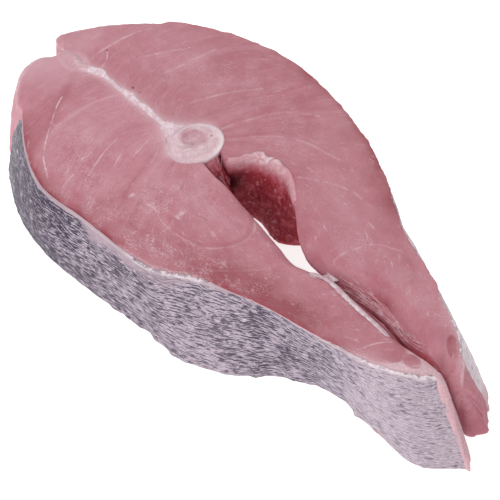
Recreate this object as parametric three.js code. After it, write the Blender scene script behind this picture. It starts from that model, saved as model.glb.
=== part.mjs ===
// A raw fish steak: a slice cut straight across a large mackerel, lying on its lower cut face.
// X runs from the fish's back (-X) to its belly (+X), Y runs across the fish, and Z is up.
// Each layer that the cut shows is a solid that runs through the slice: the two side muscles,
// their skins, the vertebra, the bone plate above it, the fin base, the blood strip and the
// belly linings. All sizes are in millimetres.
import * as THREE from "three";
import { mergeVertices } from "three/addons/utils/BufferGeometryUtils.js";

// Driving dimensions
const THICKNESS = 25;
const SKIN_THICKNESS = 1;
const LAYER_GAP = 0.5; // between the skin and the muscle under it
const PIECE_GAP = 0.55; // between the midline's pieces and the muscles beside them
const LINING_GAP = 0.65;
const WALL_BULGE = 0.8;
const EDGE_SOFTENING = 0.7;
const SKIN_SOFTENING = 0.3;
const EDGE_HEIGHT = 0.05; // share of the height at which a softened edge begins
// The low ridges between muscle flakes: height, spacing, and how they stretch and twist.
const FLAKES = { height: 0.2, spacing: 9, stretch: 0.8, twist: 2 };

const LEFT = -1; // the -Y side of the fish
const RIGHT = 1;

// Outer edge of the cut face (rim) and of the lower face (foot), from the back to the belly tip.
const OUTLINE = {
  [RIGHT]: {
    rim: [
      [-84.5, -1.2], [-90.6, 1.2], [-84.5, 13.5], [-71, 29.8], [-54, 41], [-32, 45.7], [-9, 42.7],
      [13.6, 34.8], [31, 24], [46, 17.8], [60, 11], [71, 5.5], [76.5, -0.5],
    ],
    foot: [
      [-86, -1.2], [-93, 4], [-89, 17], [-75, 33], [-56, 43.5], [-33, 47.7], [-9, 45.5],
      [14, 40], [33, 30.5], [48, 23.5], [62, 19], [76.5, 13.3], [86, 3.5],
    ],
  },
  [LEFT]: {
    rim: [
      [-83, -5.6], [-86.6, -9.5], [-83, -19], [-71.5, -27.8], [-58, -36.7], [-44, -42.2],
      [-29, -41.2], [-3, -39.2], [8, -33], [24, -26.3], [41, -22.5], [61, -18], [71.5, -12.3],
      [75.3, -8.4],
    ],
    foot: [
      [-84, -5.6], [-92, -10], [-90, -19], [-78.5, -30.3], [-66, -38.7], [-46, -44.8], [-28, -45],
      [-3, -42], [12, -41.3], [26, -35], [40, -22.3], [57, -17.8], [78, -18.4], [90.3, -9.3],
    ],
  },
};

// Inner edge of each side from the vertebra to the belly tip: the belly cavity, then the slit.
const BACK_SHARE = 0.38; // how much of the inner edge's facets the back part takes
const CAVITY = {
  [RIGHT]: {
    start: [-18.4, 3.6],
    rim: [
      [-15.5, 4.5], [-11, 10.4], [-1, 12.2], [9, 5], [19, -2.2], [30.5, -4.2], [47, 0.4], [60, -2.2],
      [75.5, -4.6],
    ],
    foot: [
      [-15.5, 4.5], [-10, 9], [1, 7.3], [9, 13], [20, 12], [32, 7.5], [47, 4], [62, 0.5], [84, -2.5],
    ],
  },
  [LEFT]: {
    start: [-18.6, -2.4],
    rim: [
      [-10, -3], [4, -5], [16, -7.2], [24, -8.6], [34, -5.4], [47, -6.1], [60, -7],
      [74.5, -5.6],
    ],
    foot: [
      [-10, -4], [4, -6.5], [16, -8.4], [24, -8.8], [34, -7], [47, -6.5], [62, -6.2],
      [89.8, -6.4],
    ],
  },
};

// The pieces on the midline: centres and half sizes.
const VERTEBRA = { x: -27.8, y: 1.3, halfLength: 7.4, halfWidth: 8.9 };
const VERTEBRA_DISH = { radius: 0.62, depth: 1.3 }; // radius as a share of the half sizes
const VERTEBRA_LIP = { radius: 0.82, rise: 0.3, fall: 0.2 };
const FIN_BASE = { x: -79, y: -2.6, halfLength: 5, halfWidth: 2.3, stickOut: 0.8 };
const FIN_ROUNDING = { foot: 1, shoulder: 1.5, lip: 0.3 };
const MIDLINE_BEND = { start: -80, end: -68 };
const SPINE_PLATE = { start: -71.5, end: -35.9, half: 0.5, top: 25.2 };
const BLOOD_STRIP = {
  start: -19.6, end: -10.5, top: 19, bottom: 6, taper: 1.5, margin: 0.6, width: 6,
};

// Knuckles of the bone plate: centre, extra half thickness and reach along the midline.
// The last one is the arch that joins the vertebra.
const KNUCKLES = [
  { x: -69.5, extra: 0.8, reach: 2.6 },
  { x: -54.5, extra: 0.8, reach: 3 },
  { x: -47, extra: 0.5, reach: 3.6 },
  { x: -37, extra: 2.2, reach: 2.4 },
];

// Where each side's inner edge follows the midline's pieces: angles round the fin base and the
// vertebra, in degrees, and the stretch beside the plate.
const FOLLOW = {
  fin: { from: 165, to: 40, points: 5 },
  plate: { from: -69, to: -37.4, points: 14 },
  vertebra: { from: { [RIGHT]: 155, [LEFT]: 140 }, to: 25, points: 7 },
};

// The belly linings: where they start and end along the inner edge (as X), and their height.
const LINING = {
  [LEFT]: { start: 28, end: 58, bottom: 9, thickness: 0.6 },
  [RIGHT]: { start: -12, end: 6, bottom: 9, thickness: 0.6 },
};

// The skin starts a little way round from the back, further on at the foot than at the rim.
const SKIN_START = { rim: -71.5, foot: -78 };
const SKIN_TUCK = { start: 0.035, end: 0.012 }; // shares of the outline before the skin's start
const BACK_TURN = 0.05; // share of an outline that turns back round the fin
const SKIN_RIM_DROP = 0.3;
const SKIN_FOOT_LIFT = 0.3;

// The right flap's inner edge rolls down into the slit.
const ROLLED_EDGE = { start: 12, end: 72, ease: 12, drop: 4.2, reach: 7 };

// Facets: along a piece, across it and up its wall. A round piece has facets round its axis.
const MUSCLE_FACETS = [80, 8, 4];
const SKIN_FACETS = [64, 1, 4];
const PLATE_FACETS = [28, 2, 2];
const BLOOD_FACETS = [5, 4, 3];
const LINING_FACETS = [14, 1, 4];
const VERTEBRA_FACETS = 32;
const FIN_FACETS = 20;
const CURVE_STEPS = 400; // steps of a search along a curve

const FINISH = {
  flesh: { color: 0xbf808a, roughness: 0.38 },
  skin: { color: 0x9d92a3, roughness: 0.42 },
  bone: { color: 0xdcc0c8, roughness: 0.35 },
  cartilage: { color: 0xd6b4bd, roughness: 0.35 },
  blood: { color: 0x6b1f2b, roughness: 0.3 },
  membrane: { color: 0xd3c3cb, roughness: 0.28 },
};

const { lerp, smoothstep, clamp } = THREE.MathUtils;

function finishOf(kind) {
  return new THREE.MeshStandardMaterial({ ...FINISH[kind], metalness: 0 });
}

// A smooth curve through flat points, as a function of the share of its length.
function smoothCurve(points) {
  const flat = points.map(([x, y]) => new THREE.Vector3(x, y, 0));
  const curve = new THREE.CatmullRomCurve3(flat, false, "catmullrom", 0.5);
  return (along) => curve.getPointAt(along);
}

// Points on an ellipse grown by a margin, between two angles in degrees.
function ellipsePoints({ x, y, halfLength, halfWidth }, margin, fromAngle, toAngle, count) {
  return Array.from({ length: count }, (_, i) => {
    const angle = THREE.MathUtils.degToRad(lerp(fromAngle, toAngle, i / (count - 1)));
    return [
      x + (halfLength + margin) * Math.cos(angle),
      y + (halfWidth + margin) * Math.sin(angle),
    ];
  });
}

// The midline bends a little towards the fin base.
function midlineY(x) {
  return FIN_BASE.y * (1 - smoothstep(x, MIDLINE_BEND.start, MIDLINE_BEND.end));
}

// Half the thickness of the bone plate.
function plateHalf(x) {
  const swelling = KNUCKLES.map((knuckle) => {
    const away = (x - knuckle.x) / knuckle.reach;
    return knuckle.extra * Math.exp(-away * away);
  });
  return swelling.reduce((sum, extra) => sum + extra, SPINE_PLATE.half);
}

// A side's inner edge along the back: round the fin base, along the bone plate and round the
// vertebra. It is the same at the rim and at the foot.
function backEdge(side) {
  const { fin, plate, vertebra } = FOLLOW;
  const besidePlate = Array.from({ length: plate.points }, (_, i) => {
    const x = lerp(plate.from, plate.to, i / (plate.points - 1));
    return [x, midlineY(x) + side * (plateHalf(x) + PIECE_GAP)];
  });
  const from = side * vertebra.from[side];
  return smoothCurve([
    ...ellipsePoints(FIN_BASE, PIECE_GAP, side * fin.from, side * fin.to, fin.points),
    ...besidePlate,
    ...ellipsePoints(VERTEBRA, PIECE_GAP, from, side * vertebra.to, vertebra.points),
    CAVITY[side].start,
  ]);
}

// A side's whole inner edge: the back part, then the belly cavity and the slit.
function innerEdge(side, level) {
  const back = backEdge(side);
  const belly = smoothCurve([CAVITY[side].start, ...CAVITY[side][level]]);
  return (along) => {
    if (along < BACK_SHARE) return back(along / BACK_SHARE);
    return belly((along - BACK_SHARE) / (1 - BACK_SHARE));
  };
}

const curves = {};
for (const side of [LEFT, RIGHT]) {
  curves[side] = {
    outer: { rim: smoothCurve(OUTLINE[side].rim), foot: smoothCurve(OUTLINE[side].foot) },
    inner: { rim: innerEdge(side, "rim"), foot: innerEdge(side, "foot") },
  };
}

// A point of the wall between a foot curve and a rim curve, moved along the wall's normal.
// A positive inset moves it to the -Y side of a curve that runs towards +X.
function wallPoint({ rim, foot }, along, height, inset) {
  const onWall = (share) => foot(clamp(share, 0, 1)).lerp(rim(clamp(share, 0, 1)), height);
  const step = 0.002;
  const tangent = onWall(along + step).sub(onWall(along - step)).normalize();
  const point = onWall(along);
  point.x += tangent.y * inset;
  point.y -= tangent.x * inset;
  return point;
}

// How far a wall swells between its edges.
function wallSwell(height) {
  return WALL_BULGE * Math.sin(Math.PI * height);
}

function isEdge(height) {
  return height === 0 || height === 1;
}

// The share of a curve's length at which it passes a given X, searched from a share on.
function alongAt(curve, x, from) {
  for (let i = Math.ceil(from * CURVE_STEPS); i < CURVE_STEPS; i += 1) {
    if (curve(i / CURVE_STEPS).x >= x) return i / CURVE_STEPS;
  }
  return 1;
}

// Where the skin starts along the outline, at a height.
const skinStarts = {};
for (const side of [LEFT, RIGHT]) {
  const { rim, foot } = curves[side].outer;
  skinStarts[side] = {
    rim: alongAt(rim, SKIN_START.rim, BACK_TURN),
    foot: alongAt(foot, SKIN_START.foot, BACK_TURN),
  };
}

function skinStart(side, height) {
  return lerp(skinStarts[side].foot, skinStarts[side].rim, height);
}

// How deep the muscle's outer wall lies inside the outline: under the skin, or flush with it.
function muscleDepth(side, along, height) {
  const start = skinStart(side, height);
  const tucked = smoothstep(along, start - SKIN_TUCK.start, start - SKIN_TUCK.end);
  return (SKIN_THICKNESS + LAYER_GAP) * tucked;
}

// Low ridges of the cut face, nested round the vertebra like the muscle flakes.
function flakeRelief(x, y) {
  const { height, spacing, stretch, twist } = FLAKES;
  const reach = Math.hypot((x - VERTEBRA.x) * stretch, y - VERTEBRA.y);
  const spread = Math.atan2(Math.abs(y - VERTEBRA.y), x - VERTEBRA.x);
  return height * Math.sin((reach * 2 * Math.PI) / spacing + twist * spread);
}

// How far the right flap's cut face has rolled down, this far from its inner edge.
function rolledDrop(side, x, distance) {
  if (side === LEFT) return 0;
  const { start, end, ease, drop, reach } = ROLLED_EDGE;
  const along = smoothstep(x, start, start + ease) * (1 - smoothstep(x, end - ease, end));
  return drop * along * (1 - smoothstep(distance, 0, reach)) ** 2;
}

// A closed solid: a unit box, finely divided, whose every point goes where place() says.
function shapedBlock(name, kind, facets, place) {
  const box = new THREE.BoxGeometry(1, 1, 1, ...facets);
  box.deleteAttribute("normal");
  box.deleteAttribute("uv");
  const geometry = mergeVertices(box);
  const corners = geometry.getAttribute("position");
  const unit = new THREE.Vector3();
  for (let i = 0; i < corners.count; i += 1) {
    unit.fromBufferAttribute(corners, i).addScalar(0.5);
    const placed = place(unit.x, unit.y, unit.z);
    corners.setXYZ(i, placed.x, placed.y, placed.z);
  }
  geometry.computeVertexNormals();
  const mesh = new THREE.Mesh(geometry, finishOf(kind));
  mesh.name = name;
  return mesh;
}

// Rows of facets up a wall: the outer two rows lie at the softened edges.
function rowHeight(share) {
  const rows = [0, EDGE_HEIGHT, 0.5, 1 - EDGE_HEIGHT, 1];
  return rows[Math.round(share * (rows.length - 1))];
}

// One side muscle, from its inner edge out to the skin.
function makeMuscle(name, side) {
  const { inner, outer } = curves[side];
  return shapedBlock(name, "flesh", MUSCLE_FACETS, (along, across, up) => {
    const height = rowHeight(up);
    const fromInner = side === RIGHT ? across : 1 - across;
    const softening = isEdge(height) ? EDGE_SOFTENING : 0;
    const outset = wallSwell(height) - muscleDepth(side, along, height) - softening;
    const outerPoint = wallPoint(outer, along, height, -side * outset);
    const innerPoint = wallPoint(inner, along, height, -side * softening);
    const point = innerPoint.clone().lerp(outerPoint, fromInner);
    const distance = point.distanceTo(innerPoint);
    const top = THICKNESS + flakeRelief(point.x, point.y) - rolledDrop(side, point.x, distance);
    point.z = height * top;
    return point;
  });
}

// The skin over one side muscle.
function makeSkin(name, side) {
  const { outer } = curves[side];
  return shapedBlock(name, "skin", SKIN_FACETS, (share, across, up) => {
    const height = rowHeight(up);
    const along = lerp(skinStart(side, height), 1, share);
    const isOutside = (side === RIGHT) === (across === 1);
    const softening = isEdge(height) ? SKIN_SOFTENING : 0;
    const depth = isOutside ? softening : SKIN_THICKNESS;
    const point = wallPoint(outer, along, height, -side * (wallSwell(height) - depth));
    point.z = lerp(SKIN_FOOT_LIFT, THICKNESS - SKIN_RIM_DROP, height);
    return point;
  });
}

// An oval piece that stands on the midline, turned from a profile of radius share and height.
function standingOval(name, kind, { x, y, halfLength, halfWidth }, profile, facets) {
  const outline = profile.map(([share, height]) => new THREE.Vector2(share, height));
  const geometry = new THREE.LatheGeometry(outline, facets);
  geometry.rotateX(Math.PI / 2); // the lathe turns about Y, the oval stands along Z
  geometry.scale(halfLength, halfWidth, 1);
  const mesh = new THREE.Mesh(geometry, finishOf(kind));
  mesh.position.set(x, y, 0);
  mesh.name = name;
  return mesh;
}

// A backbone disc with the hollow cone that the cut shows in its face.
function makeVertebra(name) {
  const edge = 1 - EDGE_SOFTENING / VERTEBRA.halfLength;
  const { radius, depth } = VERTEBRA_DISH;
  const halfway = { radius: radius * 0.6, depth: depth * 0.7 };
  const profile = [
    [0, 0],
    [edge, 0],
    [1, EDGE_SOFTENING],
    [1, THICKNESS - EDGE_SOFTENING],
    [edge, THICKNESS],
    [VERTEBRA_LIP.radius, THICKNESS + VERTEBRA_LIP.rise],
    [radius, THICKNESS - VERTEBRA_LIP.fall],
    [halfway.radius, THICKNESS - halfway.depth],
    [0, THICKNESS - depth],
  ];
  return standingOval(name, "bone", VERTEBRA, profile, VERTEBRA_FACETS);
}

// The bone plate on the midline, which swells into knuckles.
function makeSpinePlate(name) {
  const { start, end, top } = SPINE_PLATE;
  return shapedBlock(name, "bone", PLATE_FACETS, (along, across, up) => {
    const x = lerp(start, end, along);
    const half = plateHalf(x);
    return new THREE.Vector3(x, midlineY(x) + lerp(-half, half, across), up * top);
  });
}

// The root of the back fin, which fills the notch between the two sides.
function makeFinBase(name) {
  const { foot, shoulder, lip } = FIN_ROUNDING;
  const top = THICKNESS + FIN_BASE.stickOut;
  const profile = [
    [0, 0],
    [0.9, 0],
    [1, foot],
    [1, THICKNESS - shoulder],
    [0.8, top - lip],
    [0.4, top],
    [0, top],
  ];
  return standingOval(name, "cartilage", FIN_BASE, profile, FIN_FACETS);
}

// Y of a side's inner wall at a given X and height.
function innerWallY(side, x, height) {
  const { rim, foot } = curves[side].inner;
  const top = rim(alongAt(rim, x, BACK_SHARE)).y;
  const bottom = foot(alongAt(foot, x, BACK_SHARE)).y;
  return lerp(bottom, top, height);
}

// The dark blood strip under the vertebra, held between the two sides.
function makeBloodStrip(name) {
  const { start, end, top, bottom, taper, margin, width } = BLOOD_STRIP;
  return shapedBlock(name, "blood", BLOOD_FACETS, (along, across, up) => {
    const x = lerp(start, end, along);
    const z = up * lerp(top, bottom, along ** taper);
    const height = clamp(z / THICKNESS, 0, 1);
    const left = innerWallY(LEFT, x, height) + margin;
    const right = Math.min(innerWallY(RIGHT, x, height) - margin, left + width);
    return new THREE.Vector3(x, lerp(left, right, across), z);
  });
}

// A thin lining on a side's inner wall, clear of the floor.
function makeLining(name, side) {
  const { inner } = curves[side];
  const { start, end, bottom, thickness } = LINING[side];
  const from = alongAt(inner.rim, start, BACK_SHARE);
  const to = alongAt(inner.rim, end, BACK_SHARE);
  return shapedBlock(name, "membrane", LINING_FACETS, (share, across, up) => {
    const along = lerp(from, to, share);
    const height = lerp(bottom, THICKNESS - EDGE_SOFTENING, up);
    const toSlit = side === RIGHT ? 1 - across : across;
    const outset = LINING_GAP + thickness * toSlit;
    const point = wallPoint(inner, along, height / THICKNESS, side * outset);
    point.z = height * (1 - rolledDrop(side, point.x, 0) / THICKNESS);
    return point;
  });
}

const steak = new THREE.Group();
steak.add(
  makeMuscle("flesh_left", LEFT),
  makeMuscle("flesh_right", RIGHT),
  makeSkin("skin_left", LEFT),
  makeSkin("skin_right", RIGHT),
  makeVertebra("vertebra"),
  makeSpinePlate("spine_plate"),
  makeFinBase("fin_base"),
  makeBloodStrip("blood_strip"),
  makeLining("lining_left", LEFT),
  makeLining("lining_right", RIGHT),
);

// The origin is the middle of the steak's footprint box.
steak.updateMatrixWorld(true);
const middle = new THREE.Box3().setFromObject(steak).getCenter(new THREE.Vector3());
steak.position.set(-middle.x, -middle.y, 0);

export default steak;
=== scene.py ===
# %% [markdown]
# A raw fish steak, built from the inside out.
# The real thing is a slice cut straight across a large mackerel and laid on its lower cut face.
# The cut shows each layer that runs through the slice: two side muscles, the silver-grey skin
# round them, the backbone disc in the middle, the bone plate above it, the root of the back fin
# in its notch, dark blood tissue under the backbone and thin membranes in the belly slit.
# Each layer here is a closed mesh of its own that stands where its solid stands in the frame.

# %% The frame and its box
import math

import bpy
import numpy as np
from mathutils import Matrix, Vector


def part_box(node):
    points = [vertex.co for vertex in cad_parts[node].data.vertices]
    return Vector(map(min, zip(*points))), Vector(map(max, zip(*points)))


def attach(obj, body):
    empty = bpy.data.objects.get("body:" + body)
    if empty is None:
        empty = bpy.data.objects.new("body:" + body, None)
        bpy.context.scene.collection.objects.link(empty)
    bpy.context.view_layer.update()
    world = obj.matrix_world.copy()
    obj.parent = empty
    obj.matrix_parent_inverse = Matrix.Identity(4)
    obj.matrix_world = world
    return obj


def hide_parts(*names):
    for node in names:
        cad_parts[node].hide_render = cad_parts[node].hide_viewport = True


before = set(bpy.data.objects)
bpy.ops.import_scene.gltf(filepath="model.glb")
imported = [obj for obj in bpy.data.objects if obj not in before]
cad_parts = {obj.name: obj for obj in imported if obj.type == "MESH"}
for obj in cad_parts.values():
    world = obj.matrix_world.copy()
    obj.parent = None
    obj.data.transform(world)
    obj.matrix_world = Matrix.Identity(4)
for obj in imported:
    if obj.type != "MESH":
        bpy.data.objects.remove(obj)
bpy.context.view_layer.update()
print("solids:", sorted(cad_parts))

# %% [markdown]
# The sizes below are millimetres on the fish, with X from its back to its belly tips.
# The frame's origin is the middle of the steak's footprint, so every point is shifted by the
# same amount on its way into Blender. The backbone disc, whose centre is known, gives the shift.

# %% Sizes and the shift
MM = 0.001
THICKNESS = 25.0
SKIN_THICKNESS = 1.0
PIECE_GAP = 0.08  # the solids stand up to 0.6 mm apart, the real layers touch
WALL_BULGE = 0.8  # how far the outer wall swells at half its height
LEFT, RIGHT = -1, 1
SIDE_NAME = {LEFT: "left", RIGHT: "right"}
DISC = {"x": -27.8, "y": 1.3, "length": 7.4, "width": 8.9}  # middle and half sizes
FIN = {"x": -79.0, "y": -2.6, "length": 5.0, "width": 2.3}

disc_low, disc_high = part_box("vertebra")
SHIFT = np.array([(disc_low[k] + disc_high[k]) / 2 / MM - DISC["xy"[k]] for k in (0, 1)] + [0.0])
print("shift into the frame, mm:", SHIFT.round(2))

# %% [markdown]
# The shape of a slice is all in its outlines. Each side has an outer edge and an inner edge, and
# each edge is a smooth curve at the upper cut face (the rim) and another at the lower one (the
# foot), because the wall between them leans. A curve through a few named points is what a
# modeller would draw by hand; it is read by the share of its length so that points stay even.

# %% Outlines
OUTLINE = {
    RIGHT: {
        "rim": [(-84.5, -1.2), (-91.2, 1.5), (-85.2, 13.9), (-71.5, 30.3), (-54, 41), (-32, 45.7),
                (-9, 42.7), (13.6, 34.8), (31, 24), (46, 17.8), (60, 11), (71, 5.5), (76.5, -0.5)],
        "foot": [(-86, -1.2), (-93, 4), (-89, 17), (-75, 33), (-56, 43.5), (-33, 47.7), (-9, 45.5),
                 (14, 40), (33, 30.5), (48, 23.5), (62, 19), (76.5, 13.3), (86, 3.5)],
    },
    LEFT: {
        "rim": [(-84, -5.4), (-88, -10), (-84, -19.4), (-71.8, -27.8), (-58, -36.7), (-44, -42.2),
                (-29, -41.2), (-3, -39.2), (8, -33), (24, -26.3), (41, -22.5), (61, -18),
                (71.5, -12.3), (75.6, -7.4)],
        "foot": [(-84, -5.6), (-92, -10), (-90, -19), (-78.5, -30.3), (-66, -38.7), (-46, -44.8),
                 (-28, -45), (-3, -42), (12, -41.3), (26, -35), (40, -22.3), (57, -17.8),
                 (79.2, -19.5), (91.5, -9.7)],
    },
}
BELLY_EDGE = {
    RIGHT: {
        "start": (-18.4, 3.6),
        "rim": [(-15.5, 4.5), (-11, 10.4), (-1, 12.2), (9, 5), (19, -2.2), (30.5, -4.2),
                (47, -1.8), (60, -3.3), (75.5, -4.6)],
        "foot": [(-15.5, 4.5), (-10, 9), (1, 7.3), (9, 13), (20, 12), (32, 7.5), (47, 4),
                 (62, 0.5), (84, -2.5)],
    },
    LEFT: {
        "start": (-18.6, -2.4),
        "rim": [(-10, -3), (4, -5), (16, -7.2), (24, -8.6), (34, -5.4), (47, -6.1), (60, -7),
                (74.5, -5.6)],
        "foot": [(-10, -4), (4, -6.5), (16, -8.4), (24, -8.8), (34, -7), (47, -6.5), (62, -6.2),
                 (90.0, -7.2)],
    },
}
BACK_SHARE = 0.38  # how much of an inner edge lies between the fin and the belly


def smooth_curve(points):
    """A smooth curve through points, as a function of the share of its length."""
    knots = np.array(points, float)
    knots = np.vstack([2 * knots[0] - knots[1], knots, 2 * knots[-1] - knots[-2]])
    spans = len(knots) - 3
    place = np.linspace(0, spans, 200 * spans + 1)
    first = np.minimum(place.astype(int), spans - 1)
    f = (place - first)[:, None]
    a, b, c, d = (knots[first + k] for k in range(4))
    drawn = 0.5 * (2 * b + (c - a) * f + (2 * a - 5 * b + 4 * c - d) * f**2
                   + (3 * b - a - 3 * c + d) * f**3)
    length = np.concatenate([[0], np.cumsum(np.linalg.norm(np.diff(drawn, axis=0), axis=1))])
    length /= length[-1]
    return lambda share: np.stack(
        [np.interp(np.clip(share, 0, 1), length, drawn[:, k]) for k in range(drawn.shape[1])], -1)


def ramp(x, start, end):
    """0 before start, 1 after end, and a soft step between them."""
    t = np.clip((np.asarray(x, float) - start) / (end - start), 0, 1)
    return t * t * (3 - 2 * t)


def between(x, start, full, fading, end):
    """0 outside start and end, 1 from full to fading, with soft steps."""
    return ramp(x, start, full) * (1 - ramp(x, fading, end))


def hill(x, middle, reach):
    """1 at the middle, falling softly to about a third at its reach."""
    return np.exp(-((x - middle) / reach) ** 2)


def mix(low, high, share):
    """Between two values, by a share from 0 to 1."""
    return low * (1 - share) + high * share


# %% [markdown]
# Along the back the inner edge goes round the fin's root, along the bone plate and round the
# backbone disc. The plate isn't even: it swells where the bone's knuckles were cut.

# %% Inner edges
PLATE = {"start": -69.0, "end": -37.4, "half": 0.5}
KNUCKLES = [(-69.5, 0.8, 2.6), (-54.5, 0.8, 3.0), (-47, 0.5, 3.6), (-37, 2.2, 2.4)]
FIN_ANGLES = (165, 40)  # the part of an oval that the edge follows, in degrees
DISC_ANGLES = {RIGHT: (155, 25), LEFT: (140, 25)}


def midline(x):
    """Y of the bone plate's middle, which bends to the fin's root at its end."""
    return FIN["y"] * (1 - ramp(x, -80, -68))


def plate_half(x):
    """Half the bone plate's thickness, with a swelling at each knuckle."""
    return PLATE["half"] + sum(extra * hill(x, at, reach) for at, extra, reach in KNUCKLES)


def beside_oval(piece, side, angles, count):
    """Points of a side's edge round a piece, between two angles."""
    return [(piece["x"] + (piece["length"] + PIECE_GAP) * math.cos(angle),
             piece["y"] + (piece["width"] + PIECE_GAP) * math.sin(angle))
            for angle in side * np.radians(np.linspace(*angles, count))]


def inner_edge(side, level):
    """A side's inner edge at the rim or the foot, as a function of the share of its length."""
    beside_plate = [(x, midline(x) + side * (plate_half(x) + PIECE_GAP))
                    for x in np.linspace(PLATE["start"], PLATE["end"], 14)]
    start = BELLY_EDGE[side]["start"]
    back = smooth_curve([*beside_oval(FIN, side, FIN_ANGLES, 5), *beside_plate,
                         *beside_oval(DISC, side, DISC_ANGLES[side], 7), start])
    belly = smooth_curve([start, *BELLY_EDGE[side][level]])

    def edge(share):
        on_back = (share < BACK_SHARE)[..., None]
        rest = (share - BACK_SHARE) / (1 - BACK_SHARE)
        return np.where(on_back, back(share / BACK_SHARE), belly(rest))
    return edge


EDGES = {
    side: {
        level: {"inner": inner_edge(side, level), "outer": smooth_curve(OUTLINE[side][level])}
        for level in ("rim", "foot")
    }
    for side in (LEFT, RIGHT)
}
for side in EDGES:
    ends = [EDGES[side]["rim"]["outer"](np.array([s]))[0].round(1) for s in (0, 1)]
    print(SIDE_NAME[side], "outline runs from", ends[0], "to", ends[1])

# %% [markdown]
# Flesh is never smooth. Its lumps come from seeded noise: random numbers on a lattice, joined
# smoothly, so that each run gives the same fish. A lump's size is given in millimetres.

# %% Seeded lumps
TABLE_SIZE = 65536
STRIDES = np.array([1, 331, 7919])  # spread the lattice's corners over the table


def lumps(points, size, seed):
    """Smooth random heights from -1 to 1 at the points, with lumps about size millimetres wide."""
    table = np.random.default_rng(seed).uniform(-1, 1, TABLE_SIZE)
    scaled = np.asarray(points) / size
    cell = np.floor(scaled).astype(np.int64)
    f = scaled - cell
    f = f * f * (3 - 2 * f)
    total = np.zeros(len(scaled))
    for corner in np.ndindex(2, 2, 2):
        slot = (cell + corner) @ STRIDES % TABLE_SIZE
        total += np.prod(np.where(corner, f, 1 - f), axis=1) * table[slot]
    return total


def rough_lumps(points, size, seed, layers=3):
    """Lumps on lumps: each layer half as wide and half as high as the one before."""
    return sum(lumps(points, size / 2**k, seed + k) / 2**k for k in range(layers))


# %% [markdown]
# Every layer is made the same way: a row of closed cross-sections, one at each station along the
# piece, joined by quads and closed at both ends. A modeller would call this a loft. It keeps the
# faces even, and each point knows how far along, across and up it is, which the relief and the
# colours use later.

# %% Lofted pieces
THIN_SHARE = 0.45  # a corner takes at most this share of a thin piece's width


def rounded_section(width, height, soft_inner, soft_outer, counts):
    """Points round a slice's section with soft corners, for each station.
    Returns how far across and how far up each point is, in millimetres."""
    bottom, wall, top, inner, bend = counts
    width = np.asarray(width, float)[:, None]
    r_in, r_out = (np.minimum(soft, THIN_SHARE * width[:, 0])[:, None]
                   for soft in (soft_inner, soft_outer))

    def line(count):
        return np.linspace(0, 1, count)[None, :]

    def arc(start):
        return np.radians(np.linspace(start, start + 90, bend + 2)[1:-1])[None, :]

    one = np.ones_like(width)
    parts = [
        (r_in + (width - r_in - r_out) * line(bottom), 0 * one * line(bottom)),
        (width - r_out + r_out * np.cos(arc(-90)), r_out + r_out * np.sin(arc(-90))),
        (width + 0 * line(wall), r_out + (height - 2 * r_out) * line(wall)),
        (width - r_out + r_out * np.cos(arc(0)), height - r_out + r_out * np.sin(arc(0))),
        (width - r_out - (width - r_in - r_out) * line(top), height * one + 0 * line(top)),
        (r_in + r_in * np.cos(arc(90)), height - r_in + r_in * np.sin(arc(90))),
        (0 * one + 0 * line(inner), height - r_in - (height - 2 * r_in) * line(inner)),
        (r_in + r_in * np.cos(arc(180)), r_in + r_in * np.sin(arc(180))),
    ]
    across = np.hstack([p for p, _ in parts])
    up = np.hstack([q for _, q in parts])
    return across, up


def loft(rings, cap=4, dome=0.0):
    """Points and faces of a closed skin over rings of points (station, point, xyz) in millimetres.
    Each end is closed by rings that shrink to a middle point, domed by some millimetres."""
    rings = np.asarray(rings, float)

    def capped(ring, before):
        middle = ring.mean(0)
        out = middle - before.mean(0)
        out = dome * out / max(np.linalg.norm(out), 1e-9)
        turns = np.linspace(0, math.pi / 2, cap + 1)[1:-1]
        shrunk = [middle + (ring - middle) * math.cos(a) + out * math.sin(a) for a in turns]
        return np.array(shrunk).reshape(-1, *rings.shape[1:]), middle + out

    head, first_point = capped(rings[0], rings[1])
    tail, last_point = capped(rings[-1], rings[-2])
    rows = np.concatenate([head[::-1], rings, tail])
    count, size = rows.shape[:2]
    points = np.vstack([rows.reshape(-1, 3), first_point, last_point])
    around = np.arange(size)
    after = (around + 1) % size
    row = np.arange(count - 1)[:, None] * size
    quads = np.stack([row + around, row + after, row + size + after, row + size + around], -1)
    first = np.stack([np.full(size, count * size), after, around], -1)
    base = (count - 1) * size
    last = np.stack([np.full(size, count * size + 1), base + around, base + after], -1)
    return points, [*quads.reshape(-1, 4).tolist(), *first.tolist(), *last.tolist()]


def mesh_of(name, lofts):
    """One mesh from one or more lofts, and its points in millimetres."""
    points, faces, start = [], [], 0
    for part_points, part_faces in lofts:
        faces += [[start + corner for corner in face] for face in part_faces]
        points.append(part_points)
        start += len(part_points)
    points = np.vstack(points)
    mesh = bpy.data.meshes.new(name)
    mesh.from_pydata((points + SHIFT) * MM, [], faces)
    return mesh, points


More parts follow.
